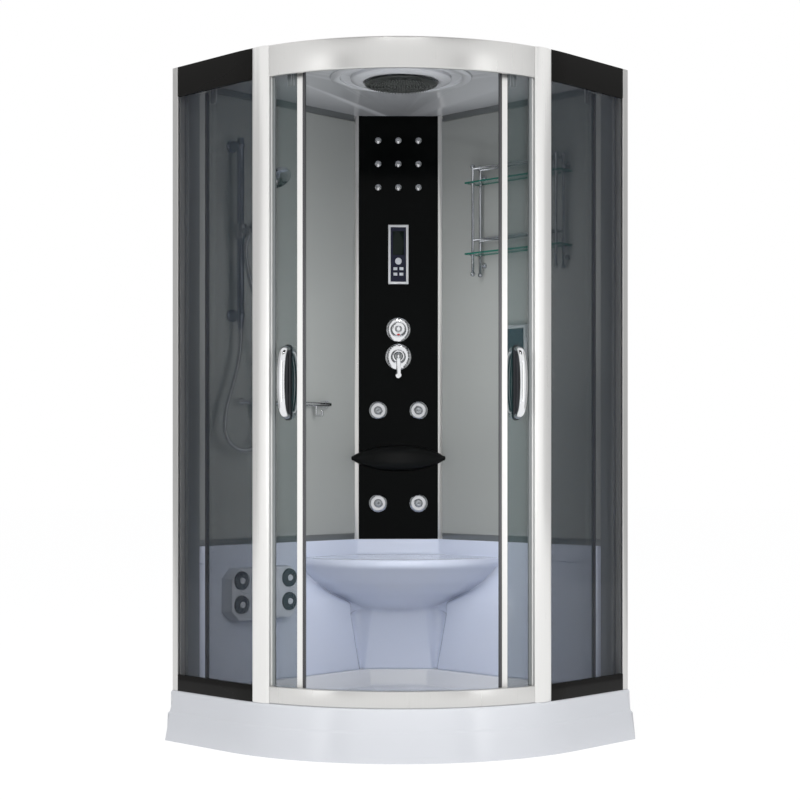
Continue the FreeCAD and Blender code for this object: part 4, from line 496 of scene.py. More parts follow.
# Steel frame, levelling feet and waste: zinc-coated square tube welded under the floor, plastic feet on
# studs, and a moulded trap with its outlet pipe. Edges are eased on a merged copy of each solid.
SEAM_WITHIN = 1e-5
FLAT_WITHIN = 0.4
EASING_FACES = 2


def worked(node, material, edge=0.0, body="cabin", angle=30):
    """A solid of the frame with its seams merged and its sharp edges eased, standing for the plain one."""
    mesh = nodes[node].data.copy()
    mesh.materials.clear()
    built = bmesh.new()
    built.from_mesh(mesh)
    bmesh.ops.remove_doubles(built, verts=built.verts, dist=SEAM_WITHIN)
    flat = math.radians(FLAT_WITHIN)
    bmesh.ops.dissolve_limit(built, angle_limit=flat, verts=built.verts, edges=built.edges)
    built.to_mesh(mesh)
    built.free()
    mesh.shade_smooth()
    piece = bpy.data.objects.new(node + "_piece", mesh)
    bpy.context.scene.collection.objects.link(piece)
    if edge:
        easing = piece.modifiers.new("easing", "BEVEL")
        easing.width = edge
        easing.segments = EASING_FACES
        easing.limit_method = "ANGLE"
        easing.angle_limit = math.radians(angle)
        easing.harden_normals = True
    plain = bpy.data.meshes.new_from_object(piece.evaluated_get(bpy.context.evaluated_depsgraph_get()))
    piece.modifiers.clear()
    piece.data = plain
    if not edge:
        plain.set_sharp_from_angle(angle=math.radians(angle))
    plain.materials.clear()
    plain.materials.append(material)
    slot = next(s["material_slot"] for s in frame["record"]["subparts"] if s["node"] == node)
    stands_for(piece, slot, body, node)
    return piece


zinc = finish("zinc coated steel", (0.55, 0.56, 0.57), 0.42, metallic=1.0, grain=60, mottle=0.12)
foot_plastic = finish("foot plastic", (0.04, 0.04, 0.042), 0.5, grain=200, bump=0.1)
trap_plastic = finish("trap plastic", (0.55, 0.56, 0.58), 0.4, grain=150, bump=0.08)
chrome = finish("polished chrome", (0.78, 0.79, 0.81), 0.06, metallic=1.0, grain=30, mottle=0.02)
worked("tray_frame", zinc, edge=0.0015)
worked("levelling_feet", foot_plastic)
worked("waste_trap", trap_plastic, edge=0.0008)
worked("waste_grate", chrome, edge=0.0008, body="waste_grate")

# Lower moulding: wing walls, a tapered pedestal with a groove on each side, and a bowl-shaped seat, drawn in
# one acrylic sheet, so that every inside corner is a soft cove. Its rows of points run round the room corner.
WING_FACE = 0.038
WING_START = 0.19
WING_STATIONS = ((0.9, 0.6, 12), (0.59, 0.29, 44), (0.286, WING_START, 30))
MIDDLE_STATIONS = 70
PEDESTAL_ROWS = (0, 1, 34)
BOWL_ROWS = (0, 1, 40)
SEAT_EDGE_ROWS = (0.2, 1, 6)
SEAT_ROWS = (0.02, 1, 40)
UPSTAND_ROWS = (0.1, 1, 12)
SOFTER_UP = 3
SOFTER_ALONG = 2
WING_FOOT = TRAY_TOP
WING_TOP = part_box("lower_moulding")[1].z
SEAT_TOP = 0.529
SEAT_EDGE = 0.505
SEAT_REACH = 0.49
SEAT_NOSE = 0.52
SEAT_ROOT = 0.025
BOWL_FOOT = 0.346
PEDESTAL_GAP = 0.004
PEDESTAL_HEAD = BOWL_FOOT - PEDESTAL_GAP
BOWL_HEIGHT_SHARES = (0, 0.18, 0.4, 0.65, 0.9, 1)
BOWL_REACH_SHARES = (0.4, 0.54, 0.72, 0.86, 0.96, 1)
BOWL_NOSE_SHARES = (0.4, 0.54, 0.7, 0.84, 0.95, 1)
PEDESTAL_FOOT = (0.181, 0.114)
PEDESTAL_TOP = (0.187, 0.089)
GROOVE_FLOOR = ((0.209, 0.033), (0.233, 0.022))
LOBE_EDGE = (0.231, 0.288)
LOBE_DEPTH = (0.01, 0.026)
LOBE_TOP = 0.47
LOBE_END = 0.58
LOBE_ROUND = 0.03
LOBE_FADE = 0.09
UPSTAND = 0.189
COVE = 0.01
BACK_LINE = 0.022
RIM_WIDTH = 0.004
SKIN = 0.005
ON_SEAT = 0.36


def bowl_radius(reach, nose, off_middle):
    """Distance from the room corner to a bowed edge, for directions measured from the cabin's middle."""
    chord = (reach + SEAT_ROOT) / math.sqrt(2)
    half = (reach - SEAT_ROOT) / math.sqrt(2)
    bow = nose - chord
    radius = (half * half + bow * bow) / (2 * bow)
    centre = nose - radius
    return centre * np.cos(off_middle) + np.sqrt(radius ** 2 - (centre * np.sin(off_middle)) ** 2)


def eased(values, passes, axis):
    """Repeated averaging along one axis, with the ends held, which rounds the corners of a profile."""
    values = np.moveaxis(values.copy(), axis, 0)
    for _ in range(passes):
        values[1:-1] = (values[:-2] + 2 * values[1:-1] + values[2:]) / 4
    return np.moveaxis(values, 0, axis)


def ramp(values, start, end):
    """Nothing before the start, one past the end, and a smooth rise between them."""
    share = np.clip((values - start) / (end - start), 0, 1)
    return share * share * (3 - 2 * share)


wing_runs = np.concatenate([np.linspace(*stretch) for stretch in WING_STATIONS])
middle_angles = np.linspace(math.atan2(WING_FACE, WING_START), math.pi / 4, MIDDLE_STATIONS)[1:]
directions = np.concatenate([np.arctan2(WING_FACE, wing_runs), middle_angles])
directions = np.concatenate([directions, math.pi / 2 - directions[-2::-1]])
off_middle = directions - math.pi / 4
turned = np.abs(off_middle)
wing_lean = np.minimum(np.sin(directions), np.cos(directions))
plain_wing = WING_FACE / wing_lean
along_wing = WING_FACE * np.maximum(np.sin(directions), np.cos(directions)) / wing_lean


def at_height(radius, height, lobe_edge=None):
    """A row of points round the corner; below the seat the wings swell out, from an edge by the pedestal."""
    level = np.full(len(directions), height)
    row = np.stack([radius * np.cos(directions), radius * np.sin(directions), level], 1)
    if lobe_edge:
        depth = np.interp(height, (WING_FOOT, BOWL_FOOT), LOBE_DEPTH)
        depth *= 1 - ramp(height, LOBE_TOP - LOBE_FADE, LOBE_TOP)
        swell = depth * ramp(along_wing, lobe_edge - LOBE_ROUND, lobe_edge)
        swell *= 1 - ramp(along_wing, LOBE_END - LOBE_FADE, LOBE_END)
        row[:, 0] += swell * (off_middle > 0)
        row[:, 1] += swell * (off_middle < 0)
    return row


def from_middle(along, off):
    """The angle from the cabin's middle at which a point beside a wall is seen from the corner."""
    return math.pi / 4 - math.atan2(off, along)


def pedestal_row(share):
    """One level of the pedestal: a flat front, and a groove on each side that curves out to the wing."""
    def at_share(low, high):
        return low + (high - low) * share

    distance, half_width = map(at_share, PEDESTAL_FOOT, PEDESTAL_TOP)
    lobe_edge, lobe_depth = at_share(*LOBE_EDGE), at_share(*LOBE_DEPTH)
    front = np.array([distance + half_width, distance - half_width]) / math.sqrt(2)
    outer = np.array([lobe_edge, WING_FACE + lobe_depth])
    pull = 2 * at_share(*map(np.array, GROOVE_FLOOR)) - (front + outer) / 2
    front_turn, outer_turn = from_middle(*front), from_middle(lobe_edge, WING_FACE)
    radius = np.where(turned < front_turn, distance / np.cos(turned), plain_wing)
    row = at_height(radius, at_share(WING_FOOT, PEDESTAL_HEAD), lobe_edge)
    for k, turn in enumerate(turned):
        if front_turn < turn < outer_turn:
            s = (turn - front_turn) / (outer_turn - front_turn)
            along, off = front * (1 - s) ** 2 + pull * (2 * s * (1 - s)) + outer * s * s
            row[k][:2] = (along, off) if off_middle[k] < 0 else (off, along)
    return row


def cove(radius, wing):
    """The larger of two distances, with a soft inside corner where they cross."""
    return (radius + wing + np.sqrt((radius - wing) ** 2 + COVE ** 2)) / 2


rows = [pedestal_row(share) for share in np.linspace(*PEDESTAL_ROWS)]
for share in np.linspace(*BOWL_ROWS):
    reach = SEAT_REACH * np.interp(share, BOWL_HEIGHT_SHARES, BOWL_REACH_SHARES)
    nose = SEAT_NOSE * np.interp(share, BOWL_HEIGHT_SHARES, BOWL_NOSE_SHARES)
    height = BOWL_FOOT + (SEAT_EDGE - BOWL_FOOT) * share
    rows.append(at_height(cove(bowl_radius(reach, nose, off_middle), plain_wing), height,
                          max(LOBE_EDGE[1], reach + LOBE_ROUND)))
edge_radius = bowl_radius(SEAT_REACH, SEAT_NOSE, off_middle)
upstand_radius = UPSTAND / np.cos(off_middle)
for share in np.linspace(*SEAT_EDGE_ROWS):
    rows.append(at_height(cove(edge_radius, plain_wing), SEAT_EDGE + (SEAT_TOP - SEAT_EDGE) * share))
for share in np.linspace(*SEAT_ROWS):
    rows.append(at_height(cove(edge_radius + (upstand_radius - edge_radius) * share, plain_wing), SEAT_TOP))
for share in np.linspace(*UPSTAND_ROWS):
    rows.append(at_height(cove(upstand_radius, plain_wing), SEAT_TOP + (WING_TOP - SEAT_TOP) * share))
rows = eased(eased(np.array(rows), SOFTER_UP, axis=0), SOFTER_ALONG, axis=1)
rim_radius = np.hypot(rows[-1][:, 0], rows[-1][:, 1])
back_radius = np.minimum(BACK_LINE / wing_lean, rim_radius - RIM_WIDTH)
rows = np.concatenate([rows, [at_height(back_radius, WING_TOP)]])
moulding_points = [from_corner(x, y, z) for row in rows for x, y, z in row]
columns = len(directions)
moulding_faces = [(k * columns + j, k * columns + j + 1, (k + 1) * columns + j + 1, (k + 1) * columns + j)
                  for k in range(len(rows) - 1) for j in range(columns - 1)]
# The moulding is the tray's white acrylic, but its colour is painted a little darker and bluer: painted shade of
# the closed cabin.
moulding_acrylic_in_painted_shade = finish("moulding acrylic in painted shade", (0.64, 0.69, 0.82), 0.12, coat=0.4, grain=9, mottle=0.006,
                          bump=0.02)
moulding = make_mesh("moulding", moulding_points, moulding_faces, moulding_acrylic_in_painted_shade, 50)
sheet_skin = moulding.modifiers.new("skin", "SOLIDIFY")
sheet_skin.thickness = SKIN
seat_middle = from_corner(ON_SEAT, ON_SEAT, SEAT_TOP)
seat_face = min(moulding.data.polygons, key=lambda face: (face.center - seat_middle).length)
sheet_skin.offset = -1 if seat_face.normal.z > 0 else 1
stands_for(moulding, "white_acrylic", "cabin", "lower_moulding")

# Back walls: panes of pale grey-green tempered glass, held in grey trims along the top and bottom and in a
# dark channel beside each satin aluminium upright. White strips cover the joints beside the column.
wall_glass = finish("wall glass", (0.337, 0.351, 0.343), 0.05, coat=0.5, ior=1.6, grain=3, mottle=0.03)
satin = finish("satin aluminium", (0.66, 0.655, 0.642), 0.3, metallic=0.8, grain=(500, 500, 6), bump=0.03)
# The same grey is also used as painted shade on the lip inside each front post.
trim_grey_and_lip_shade = finish("grey trim", (0.22, 0.235, 0.24), 0.36, metallic=0.6, grain=(400, 400, 8), mottle=0.05)
nodes["wall_glasses"].data.materials.clear()
nodes["wall_glasses"].data.materials.append(wall_glass)
worked("wall_trims", trim_grey_and_lip_shade, edge=0.001)
worked("wall_profiles", satin, edge=0.0012)

# Control column: a glossy black panel that closes the corner between the two back walls, screwed to the
# strips beside it. It carries the jets, the keypad, the two valves and the back pad.
black_panel = finish("black panel", (0.002, 0.0025, 0.0025), 0.1, gloss=0.04, grain=5, mottle=0.1)
worked("control_panel", black_panel)

# Back pad: a leaf of soft black moulded foam with a skin, thick along its middle and pinched to a point at
# each end, pressed onto two studs on the column.
pad_low, pad_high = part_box("backrest_pad")
PAD_HALF_WIDTH = (pad_high.x - pad_low.x) / 2
PAD_MIDDLE = (pad_low.z + pad_high.z) / 2
PAD_HALF = (pad_high.z - pad_low.z) / 2
PAD_FRONT, PAD_BACK = pad_low.y, pad_high.y
PAD_RINGS = 26
PAD_STEPS = 160
PAD_KNOB = 0.0115
KNOB_MIDDLE, KNOB_HALF = 0.94, 0.06
LEAF_TIP = 0.93
LEAF_SHAPE = (2.2, 0.8)
CROWN_SHAPE = (2.6, 0.62)
LEAF_TAPER = 0.55
TAPER_SHAPE = 1.5
PINCH = 0.12


def swelling(share, shape):
    """A bulge that is full at nothing and falls away to nothing at one."""
    return (1 - share ** shape[0]) ** shape[1]


def leaf_half_height(along):
    """Half height of the leaf at a share of its half width; a small rounded knob closes each end."""
    knob = PAD_KNOB * math.sqrt(max(0, 1 - ((along - KNOB_MIDDLE) / KNOB_HALF) ** 2))
    return max(PAD_HALF * swelling(min(1, along / LEAF_TIP), LEAF_SHAPE), knob)


pad_points = []
for ring in range(1, PAD_RINGS + 1):
    share = ring / PAD_RINGS
    for step in range(PAD_STEPS):
        angle = 2 * math.pi * step / PAD_STEPS
        across = PAD_HALF_WIDTH * math.cos(angle) * share
        along = abs(across) / PAD_HALF_WIDTH
        rise = 0
        if along < 1:
            upright = math.sin(angle) * share / max(1e-6, math.sqrt(1 - (math.cos(angle) * share) ** 2))
            rise = max(-PAD_HALF, min(PAD_HALF, leaf_half_height(along) * upright))
        crown = swelling(share, CROWN_SHAPE) * (1 - LEAF_TAPER * along ** TAPER_SHAPE)
        depth = (PAD_BACK - PAD_FRONT) * (PINCH + (1 - PINCH) * crown)
        pad_points.append((across, PAD_BACK - depth, PAD_MIDDLE + rise))
pad_points += [(x, PAD_BACK, z) for x, _, z in pad_points[-PAD_STEPS:]]
front_middle = len(pad_points)
pad_points += [(0, PAD_FRONT, PAD_MIDDLE), (0, PAD_BACK, PAD_MIDDLE)]
pad_faces = ring_faces(PAD_RINGS + 1, PAD_STEPS)[:-2]
for step in range(PAD_STEPS):
    after = (step + 1) % PAD_STEPS
    pad_faces.append((front_middle, after, step))
    pad_faces.append((front_middle + 1, PAD_RINGS * PAD_STEPS + step, PAD_RINGS * PAD_STEPS + after))
pad_skin = finish("pad skin", (0.005, 0.0055, 0.0055), 0.36, gloss=0.14, grain=900, mottle=0.2, bump=0.12)
back_pad = make_mesh("back_pad", pad_points, pad_faces, pad_skin, 60)
stands_for(back_pad, "pad_plastic", "cabin", "backrest_pad")

# Jets: nine small fixed nozzles above the keypad and four large ones with a ball nozzle that tilts, all
# chromed plastic pushed through the panel from the front.
chromed_plastic = finish("chromed plastic", (0.56, 0.57, 0.59), 0.12, metallic=1.0, grain=25, mottle=0.03)
worked("jet_fittings", chromed_plastic, edge=0.0009)
pale_nozzle = finish("pale nozzle", (0.5, 0.52, 0.54), 0.25, metallic=0.7, grain=60, mottle=0.05)
for number in range(1, 5):
    worked(f"jet_nozzle_{number}", pale_nozzle, body=f"jet_nozzle_{number}", angle=50)

# Keypad: a silver moulded frame with a dark recessed face, a display behind a black window, a round power key
# and four small pale keys that press in.
silver = finish("keypad silver", (0.62, 0.63, 0.65), 0.35, metallic=0.3, grain=80, mottle=0.04)
key_face = finish("dark key field", (0.006, 0.008, 0.024), 0.2, gloss=0.2, grain=80, mottle=0.1)
display = finish("display window", (0.003, 0.008, 0.006), 0.08, gloss=0.15, grain=20, mottle=0.3)
pale_key = finish("pale key", (0.55, 0.57, 0.62), 0.35, grain=200, mottle=0.05)
KEY_RECESS = 0.001
KEY_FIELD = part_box("keypad_frame")[0].y + KEY_RECESS
KEYPAD_BORDER = 0.0072


def in_key_field(corner):
    low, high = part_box("keypad_frame")
    inside = low.x + KEYPAD_BORDER < corner.x < high.x - KEYPAD_BORDER
    return inside and low.z + KEYPAD_BORDER < corner.z < high.z - KEYPAD_BORDER and corner.y > KEY_FIELD


def second_finish(piece, material, test):
    """Gives a second finish to the faces whose corners all pass a test."""
    corners = [vertex.co for vertex in piece.data.vertices]
    piece.data.materials.append(material)
    for face in piece.data.polygons:
        if all(test(corners[i]) for i in face.vertices):
            face.material_index = 1


second_finish(worked("keypad_frame", silver, edge=0.0012), key_face, in_key_field)
worked("keypad_window", display, edge=0.0004)
worked("power_key", pale_key, edge=0.0008, body="power_key")
RING_STEPS = 96
RING_LOBE = 0.1
RING_RADII = (0.0128, 0.0128, 0.0146, 0.0152)
RING_PROUD = (-0.0024, -0.0014, -0.0014, -0.0024)
power_low, power_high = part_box("power_key")
power_height = (power_low.z + power_high.z) / 2
ring_points = []
for number, (radius, proud) in enumerate(zip(RING_RADII, RING_PROUD)):
    for angle in np.linspace(0, 2 * math.pi, RING_STEPS, endpoint=False):
        lobed = radius * (1 + RING_LOBE * (number > 1) * math.cos(4 * angle))
        rise = lobed * math.sin(angle)
        ring_points.append((lobed * math.cos(angle), KEY_FIELD - proud, power_height + rise))
power_faces = ring_faces(len(RING_RADII), RING_STEPS, closed=True)
power_ring = make_mesh("power_ring", ring_points, power_faces, silver)
stands_for(power_ring, "keypad_silver", "cabin")
for place in ("upper_left", "upper_right", "lower_left", "lower_right"):
    worked(f"key_{place}", pale_key, edge=0.0005, body=f"key_{place}")

# Valves: two chrome plates on the column, a domed diverter knob with a red mark, and a mixer with a domed cap
# and a lever that hangs down. Brass bodies and pipes behind the column feed them.
worked("valve_plates", chrome, edge=0.0015)
worked("diverter_knob", chrome, edge=0.0022, body="diverter_knob")
worked("mixer_cap", chrome, edge=0.0022, body="mixer_cap")
worked("mixer_lever", chrome, edge=0.0016, body="mixer_lever", angle=40)
red_enamel = finish("red enamel", (0.42, 0.01, 0.015), 0.25, coat=0.5, grain=100)
MARK_STEPS = 24
MARK_HALF_SIZE = (0.006, 0.0032)
MARK_RISE = 0.0085
MARK_RINGS = ((1.0, -0.0004), (0.93, 0.0003), (0.5, 0.0005))
knob_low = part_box("diverter_knob")[0]
mark_points = [(MARK_HALF_SIZE[0] * share * math.cos(angle), knob_low.y - proud,
                knob_low.z + MARK_RISE + MARK_HALF_SIZE[1] * share * math.sin(angle))
               for share, proud in MARK_RINGS
               for angle in np.linspace(0, 2 * math.pi, MARK_STEPS, endpoint=False)]
mark = make_mesh("diverter_mark", mark_points, ring_faces(len(MARK_RINGS), MARK_STEPS), red_enamel)
stands_for(mark, "chrome", "diverter_knob")
brass = finish("valve brass", (0.56, 0.42, 0.19), 0.32, metallic=1.0, grain=50, mottle=0.12)
worked("valve_manifold", brass, edge=0.0008)

# Canopy: a ceiling drawn in one sheet of white acrylic, with a raised flange and a stepped ring round the
# rain disc. It lies on the back walls and the front posts and closes the cabin at the top.
worked("canopy", acrylic, edge=0.003, angle=25)


# Rain disc: a chromed rim round a dark face with rings of soft nozzles, made by one node tree that also makes
# the nozzles of the handset.
PIN_TAPER = 0.6


def nozzle_tree():
    """Rings of small tapered pins round a middle pin, six more in each ring than in the last."""
    tree = bpy.data.node_groups.new("nozzle rings", "GeometryNodeTree")
    for name, kind in (("Pins", "Int"), ("Ring Pitch", "Float"), ("Pin Radius", "Float"),
                       ("Pin Length", "Float"), ("Pin Material", "Material")):
        tree.interface.new_socket(name, in_out="INPUT", socket_type=f"NodeSocket{kind}")
    tree.interface.new_socket("Geometry", in_out="OUTPUT", socket_type="NodeSocketGeometry")
    given = tree.nodes.new("NodeGroupInput")
    result = tree.nodes.new("NodeGroupOutput")

    def calc(operation, *values):
        return maths(tree, operation, *values)

    index = tree.nodes.new("GeometryNodeInputIndex").outputs[0]
    root = calc("SQRT", calc("ADD", calc("MULTIPLY", index, 4 / 3), 1))
    ring = calc("CEIL", calc("SUBTRACT", calc("MULTIPLY", calc("SUBTRACT", root, 1), 0.5), 1e-4))
    before = calc("MULTIPLY", calc("MULTIPLY", ring, 3), calc("SUBTRACT", ring, 1))
    share = calc("DIVIDE", calc("SUBTRACT", index, before), calc("MAXIMUM", calc("MULTIPLY", ring, 6), 1))
    angle = calc("MULTIPLY", share, 2 * math.pi)
    radius = calc("MULTIPLY", ring, given.outputs["Ring Pitch"])
    place = tree.nodes.new("ShaderNodeCombineXYZ")
    link(tree, calc("MULTIPLY", radius, calc("COSINE", angle)), place.inputs[0])
    link(tree, calc("MULTIPLY", radius, calc("SINE", angle)), place.inputs[1])
    spots = tree.nodes.new("GeometryNodePoints")
    link(tree, given.outputs["Pins"], spots.inputs["Count"])
    link(tree, place.outputs[0], spots.inputs["Position"])
    pin = tree.nodes.new("GeometryNodeMeshCone")
    pin.inputs["Vertices"].default_value = 10
    link(tree, given.outputs["Pin Radius"], pin.inputs["Radius Bottom"])
    link(tree, calc("MULTIPLY", given.outputs["Pin Radius"], PIN_TAPER), pin.inputs["Radius Top"])
    link(tree, given.outputs["Pin Length"], pin.inputs["Depth"])
    copies = tree.nodes.new("GeometryNodeInstanceOnPoints")
    link(tree, spots.outputs[0], copies.inputs["Points"])
    link(tree, pin.outputs["Mesh"], copies.inputs["Instance"])
    real = tree.nodes.new("GeometryNodeRealizeInstances")
    link(tree, copies.outputs[0], real.inputs[0])
    coat = tree.nodes.new("GeometryNodeSetMaterial")
    link(tree, real.outputs[0], coat.inputs["Geometry"])
    link(tree, given.outputs["Pin Material"], coat.inputs["Material"])
    link(tree, coat.outputs[0], result.inputs[0])
    return tree


def grown(name, tree, values, place):
    """A plain mesh made by a node tree, set at its place on the cabin."""
    holder = bpy.data.objects.new(name, bpy.data.meshes.new(name))
    bpy.context.scene.collection.objects.link(holder)
    maker = holder.modifiers.new("maker", "NODES")
    maker.node_group = tree
    for socket in tree.interface.items_tree:
        if socket.in_out == "INPUT":
            maker[socket.identifier] = values[socket.name]
    mesh = bpy.data.meshes.new_from_object(holder.evaluated_get(bpy.context.evaluated_depsgraph_get()))
    holder.modifiers.clear()
    holder.data = mesh
    mesh.transform(place)
    mesh.update()
    return holder


disc_low, disc_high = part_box("rain_disc")
DISC_MIDDLE = Vector((0, (disc_low.y + disc_high.y) / 2, disc_low.z))
PIN_SINK = 0.0006
nozzle_maker = nozzle_tree()
soft_nozzle = finish("soft nozzle", (0.13, 0.14, 0.135), 0.5, grain=300, mottle=0.08)
disc_face = finish("disc face", (0.055, 0.06, 0.058), 0.28, metallic=0.4, grain=30, mottle=0.08)
worked("rain_disc", disc_face, edge=0.0012)
disc_nozzles = grown("disc_nozzles", nozzle_maker, {
    "Pins": 271, "Ring Pitch": 0.0098, "Pin Radius": 0.0019, "Pin Length": 0.004, "Pin Material": soft_nozzle,
}, Matrix.Translation(DISC_MIDDLE + UP * PIN_SINK) @ Matrix.Rotation(math.pi, 4, "X"))
stands_for(disc_nozzles, "chromed_plastic", "cabin")

# Front frame: two broad posts and the curved rails that close the cabin at the head and foot, extruded in
# satin aluminium; glossy black bands carry the side glass at its top and bottom.
FRAME_RADIUS = 0.687
FRAME_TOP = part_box("front_posts")[1].z
POST_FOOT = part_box("front_posts")[0].z
POST_ANGLE = 36
LIP_FACE = 0.6755
HEAD_RAIL_HEIGHT = 0.089
HEAD_RAIL_LOW = FRAME_TOP - HEAD_RAIL_HEIGHT
HEAD_LOW_EDGE = ((0, 0.004), (0.0005, 0.0025), (0.0015, 0.001), (0.003, 0), (0.009, 0), (0.009, 0.003),
                 (0.003, 0.003))
HEAD_TOP_EDGE = ((0.003, 0.003), (0.035, 0.003), (0.035, 0), (0.004, 0), (0.0017, 0.0007), (0.0004, 0.0024),
                 (0, 0.0045))
FOOT_RAIL_BACK = 0.663
FOOT_RAIL_HEIGHT = 0.049
FOOT_RAIL_TOP = POST_FOOT + FOOT_RAIL_HEIGHT
FOOT_RAIL_EASE = 0.004
RAIL_END = 33.37
RAIL_STEPS = 90
TRACK_END = 65.4
TRACK_STEPS = 150
TRACK_SPAN = (0.673, 0.661)
TRACK_HEIGHTS = (1.945, 1.981)
GUIDE_SPAN = (0.646, 0.663)
GUIDE_HEIGHTS = (0.148, 0.160)
TRACK_SHEET = 0.002
BAND_START = 38.63
BAND_DEPTH = 0.013
BAND_EASE = 0.0015
SIDE_GLASS_START = 37.6
SIDE_GLASS_FACES = (0.683, 0.678)
SIDE_GLASS_HEIGHTS = (0.185, 1.943)
GLASS_EASE = 0.0004
WALL_END = 0.025
GLASS_INSERT = 0.012
SIDE_BEND_END = 45
SIDE_BEND_STEPS = 14
SIDE_RUN_SHARES = (0.1, 1, 10)


def outward(angle, hand):
    """The direction away from the doors' axis, at an angle from the front on the left (-1) or right (1)."""
    return Vector((hand * math.sin(math.radians(angle)), -math.cos(math.radians(angle)), 0))


def front_path(start, end, steps):
    """Stations round the doors' axis, from the right (negative angles) to the left."""
    return [(DOOR_AXIS, outward(angle, -1)) for angle in np.linspace(start, end, steps)]


def side_path(hand, start, wall_end):
    """Stations from a post round to the side, then straight back to the wall."""
    along = ALONG_LEFT if hand < 0 else ALONG_RIGHT
    back = -ALONG_RIGHT if hand < 0 else -ALONG_LEFT
    stations = [(DOOR_AXIS, outward(angle, hand))
                for angle in np.linspace(start, SIDE_BEND_END, SIDE_BEND_STEPS)]
    run = ARC_OFFSET - wall_end
    return stations + [(DOOR_AXIS + back * (run * share), along)
                       for share in np.linspace(*SIDE_RUN_SHARES)]


def bar_section(outer, inner, low, high, ease):
    """A bar's section with eased corners, as distances from the axis and heights."""
    section = []
    for x, z, turn in ((outer - ease, high - ease, 0), (inner + ease, high - ease, 90),
                       (inner + ease, low + ease, 180), (outer - ease, low + ease, 270)):
        for bit in (0, 30, 60, 90):
            angle = math.radians(turn + bit)
            section.append((x + ease * math.cos(angle), z + ease * math.sin(angle)))
    return section


def bent_bars(name, bars, material, smooth_angle=40):
    """Sections carried along their paths, each closed at both ends, as one piece."""
    points, faces = [], []
    for path, section in bars:
        first = len(points)
        faces += [tuple(first + i for i in loop) for loop in ring_faces(len(path), len(section))]
        for base, way in path:
            points += [base + way * reach + UP * (height - base.z) for reach, height in section]
    return make_mesh(name, points, faces, material, smooth_angle)


def on_lip_in_painted_shade(corner):
    """Whether a corner lies on the lip inside a post, behind its broad face, where the lip is painted darker as
    painted shade.
    """
    way = outward(POST_ANGLE, math.copysign(1, corner.x))
    return (corner - DOOR_AXIS).dot(way) < LIP_FACE


def channel(back, mouth, low, high):
    """The section of a bent sheet channel, from its back to its mouth and across from low to high."""
    floor = back + math.copysign(TRACK_SHEET, mouth - back)
    return [(back, low), (mouth, low), (mouth, low + TRACK_SHEET), (floor, low + TRACK_SHEET),
            (floor, high - TRACK_SHEET), (mouth, high - TRACK_SHEET), (mouth, high), (back, high)]


bright_satin = finish("bright satin", (0.84, 0.835, 0.82), 0.3, metallic=0.8, grain=(500, 500, 6), bump=0.03)
# The lip inside each post takes the trims' darker grey: painted shade of its deep reveal, while the broad face
# stays bright.
second_finish(worked("front_posts", bright_satin, edge=0.005), trim_grey_and_lip_shade, on_lip_in_painted_shade)
rail_path = front_path(-RAIL_END, RAIL_END, RAIL_STEPS)
track_path = front_path(-TRACK_END, TRACK_END, TRACK_STEPS)
head_section = [(FRAME_RADIUS - inset, HEAD_RAIL_LOW + rise) for inset, rise in HEAD_LOW_EDGE]
head_section += [(FRAME_RADIUS - inset, FRAME_TOP - drop) for inset, drop in HEAD_TOP_EDGE]
foot_section = bar_section(FRAME_RADIUS, FOOT_RAIL_BACK, POST_FOOT, FOOT_RAIL_TOP, FOOT_RAIL_EASE)
track_section = channel(*TRACK_SPAN, *TRACK_HEIGHTS)
guide_section = [(reach, height) for height, reach in channel(*GUIDE_HEIGHTS, *GUIDE_SPAN)]
rails = bent_bars("frame_rails_bent", [(rail_path, head_section), (rail_path, foot_section),
                                       (track_path, track_section), (track_path, guide_section)], satin)
stands_for(rails, "satin_aluminium", "cabin", "frame_rails")
black_band = finish("black band", (0.007, 0.0065, 0.006), 0.14, gloss=0.12, grain=4, mottle=0.15)
bands = bent_bars("bands", [
    (side_path(hand, BAND_START, WALL_END),
     bar_section(FRAME_RADIUS, FRAME_RADIUS - BAND_DEPTH, low, high, BAND_EASE))
    for hand in (-1, 1) for low, high in ((POST_FOOT, FOOT_RAIL_TOP), (HEAD_RAIL_LOW, FRAME_TOP))
], black_band)
stands_for(bands, "black_band", "cabin", "side_bands")
side_glass = finish("smoked side glass", (0.008, 0.012, 0.024), 0.03, gloss=0.4, grain=2, mottle=0.1,
                    alpha=0.26)
side_panes = bent_bars("side_panes", [
    (side_path(hand, SIDE_GLASS_START, WALL_END - GLASS_INSERT),
     bar_section(*SIDE_GLASS_FACES, *SIDE_GLASS_HEIGHTS, GLASS_EASE))
    for hand in (-1, 1)
], side_glass)
stands_for(side_panes, "side_glass", "cabin", "side_glasses")

# Sliding doors: bent tempered glass with an aluminium stile and a grey seal along the edge where they meet
# and a brush seal behind, hung on two rollers in the head rail and guided below.
DOOR_LOW, DOOR_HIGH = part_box("left_door_glass")[0].z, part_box("left_door_glass")[1].z
GLASS_FACES = (0.659, 0.654)
GLASS_SPAN = (25.92, 62.35)
STILE_SPAN = (25.222, 26.7)
SEAL_SPAN = (24.7, 25.222)
BRUSH_SPAN = (61.657, 62.7)
STILE_FACES = (0.663, 0.650)
SEAL_FACES = (0.661, 0.652)
STILE_EASE = 0.0015
SEAL_EASE = 0.001
PANE_STEPS, STILE_STEPS, SEAL_STEPS = 60, 6, 4
door_glass = finish("door glass", (0.012, 0.04, 0.042), 0.03, gloss=0.35, grain=2, mottle=0.1, alpha=0.3)
seal = finish("door seal", (0.06, 0.06, 0.064), 0.45, grain=200, mottle=0.08)
roller_nylon = finish("roller nylon", (0.75, 0.75, 0.74), 0.35, grain=100, mottle=0.04)
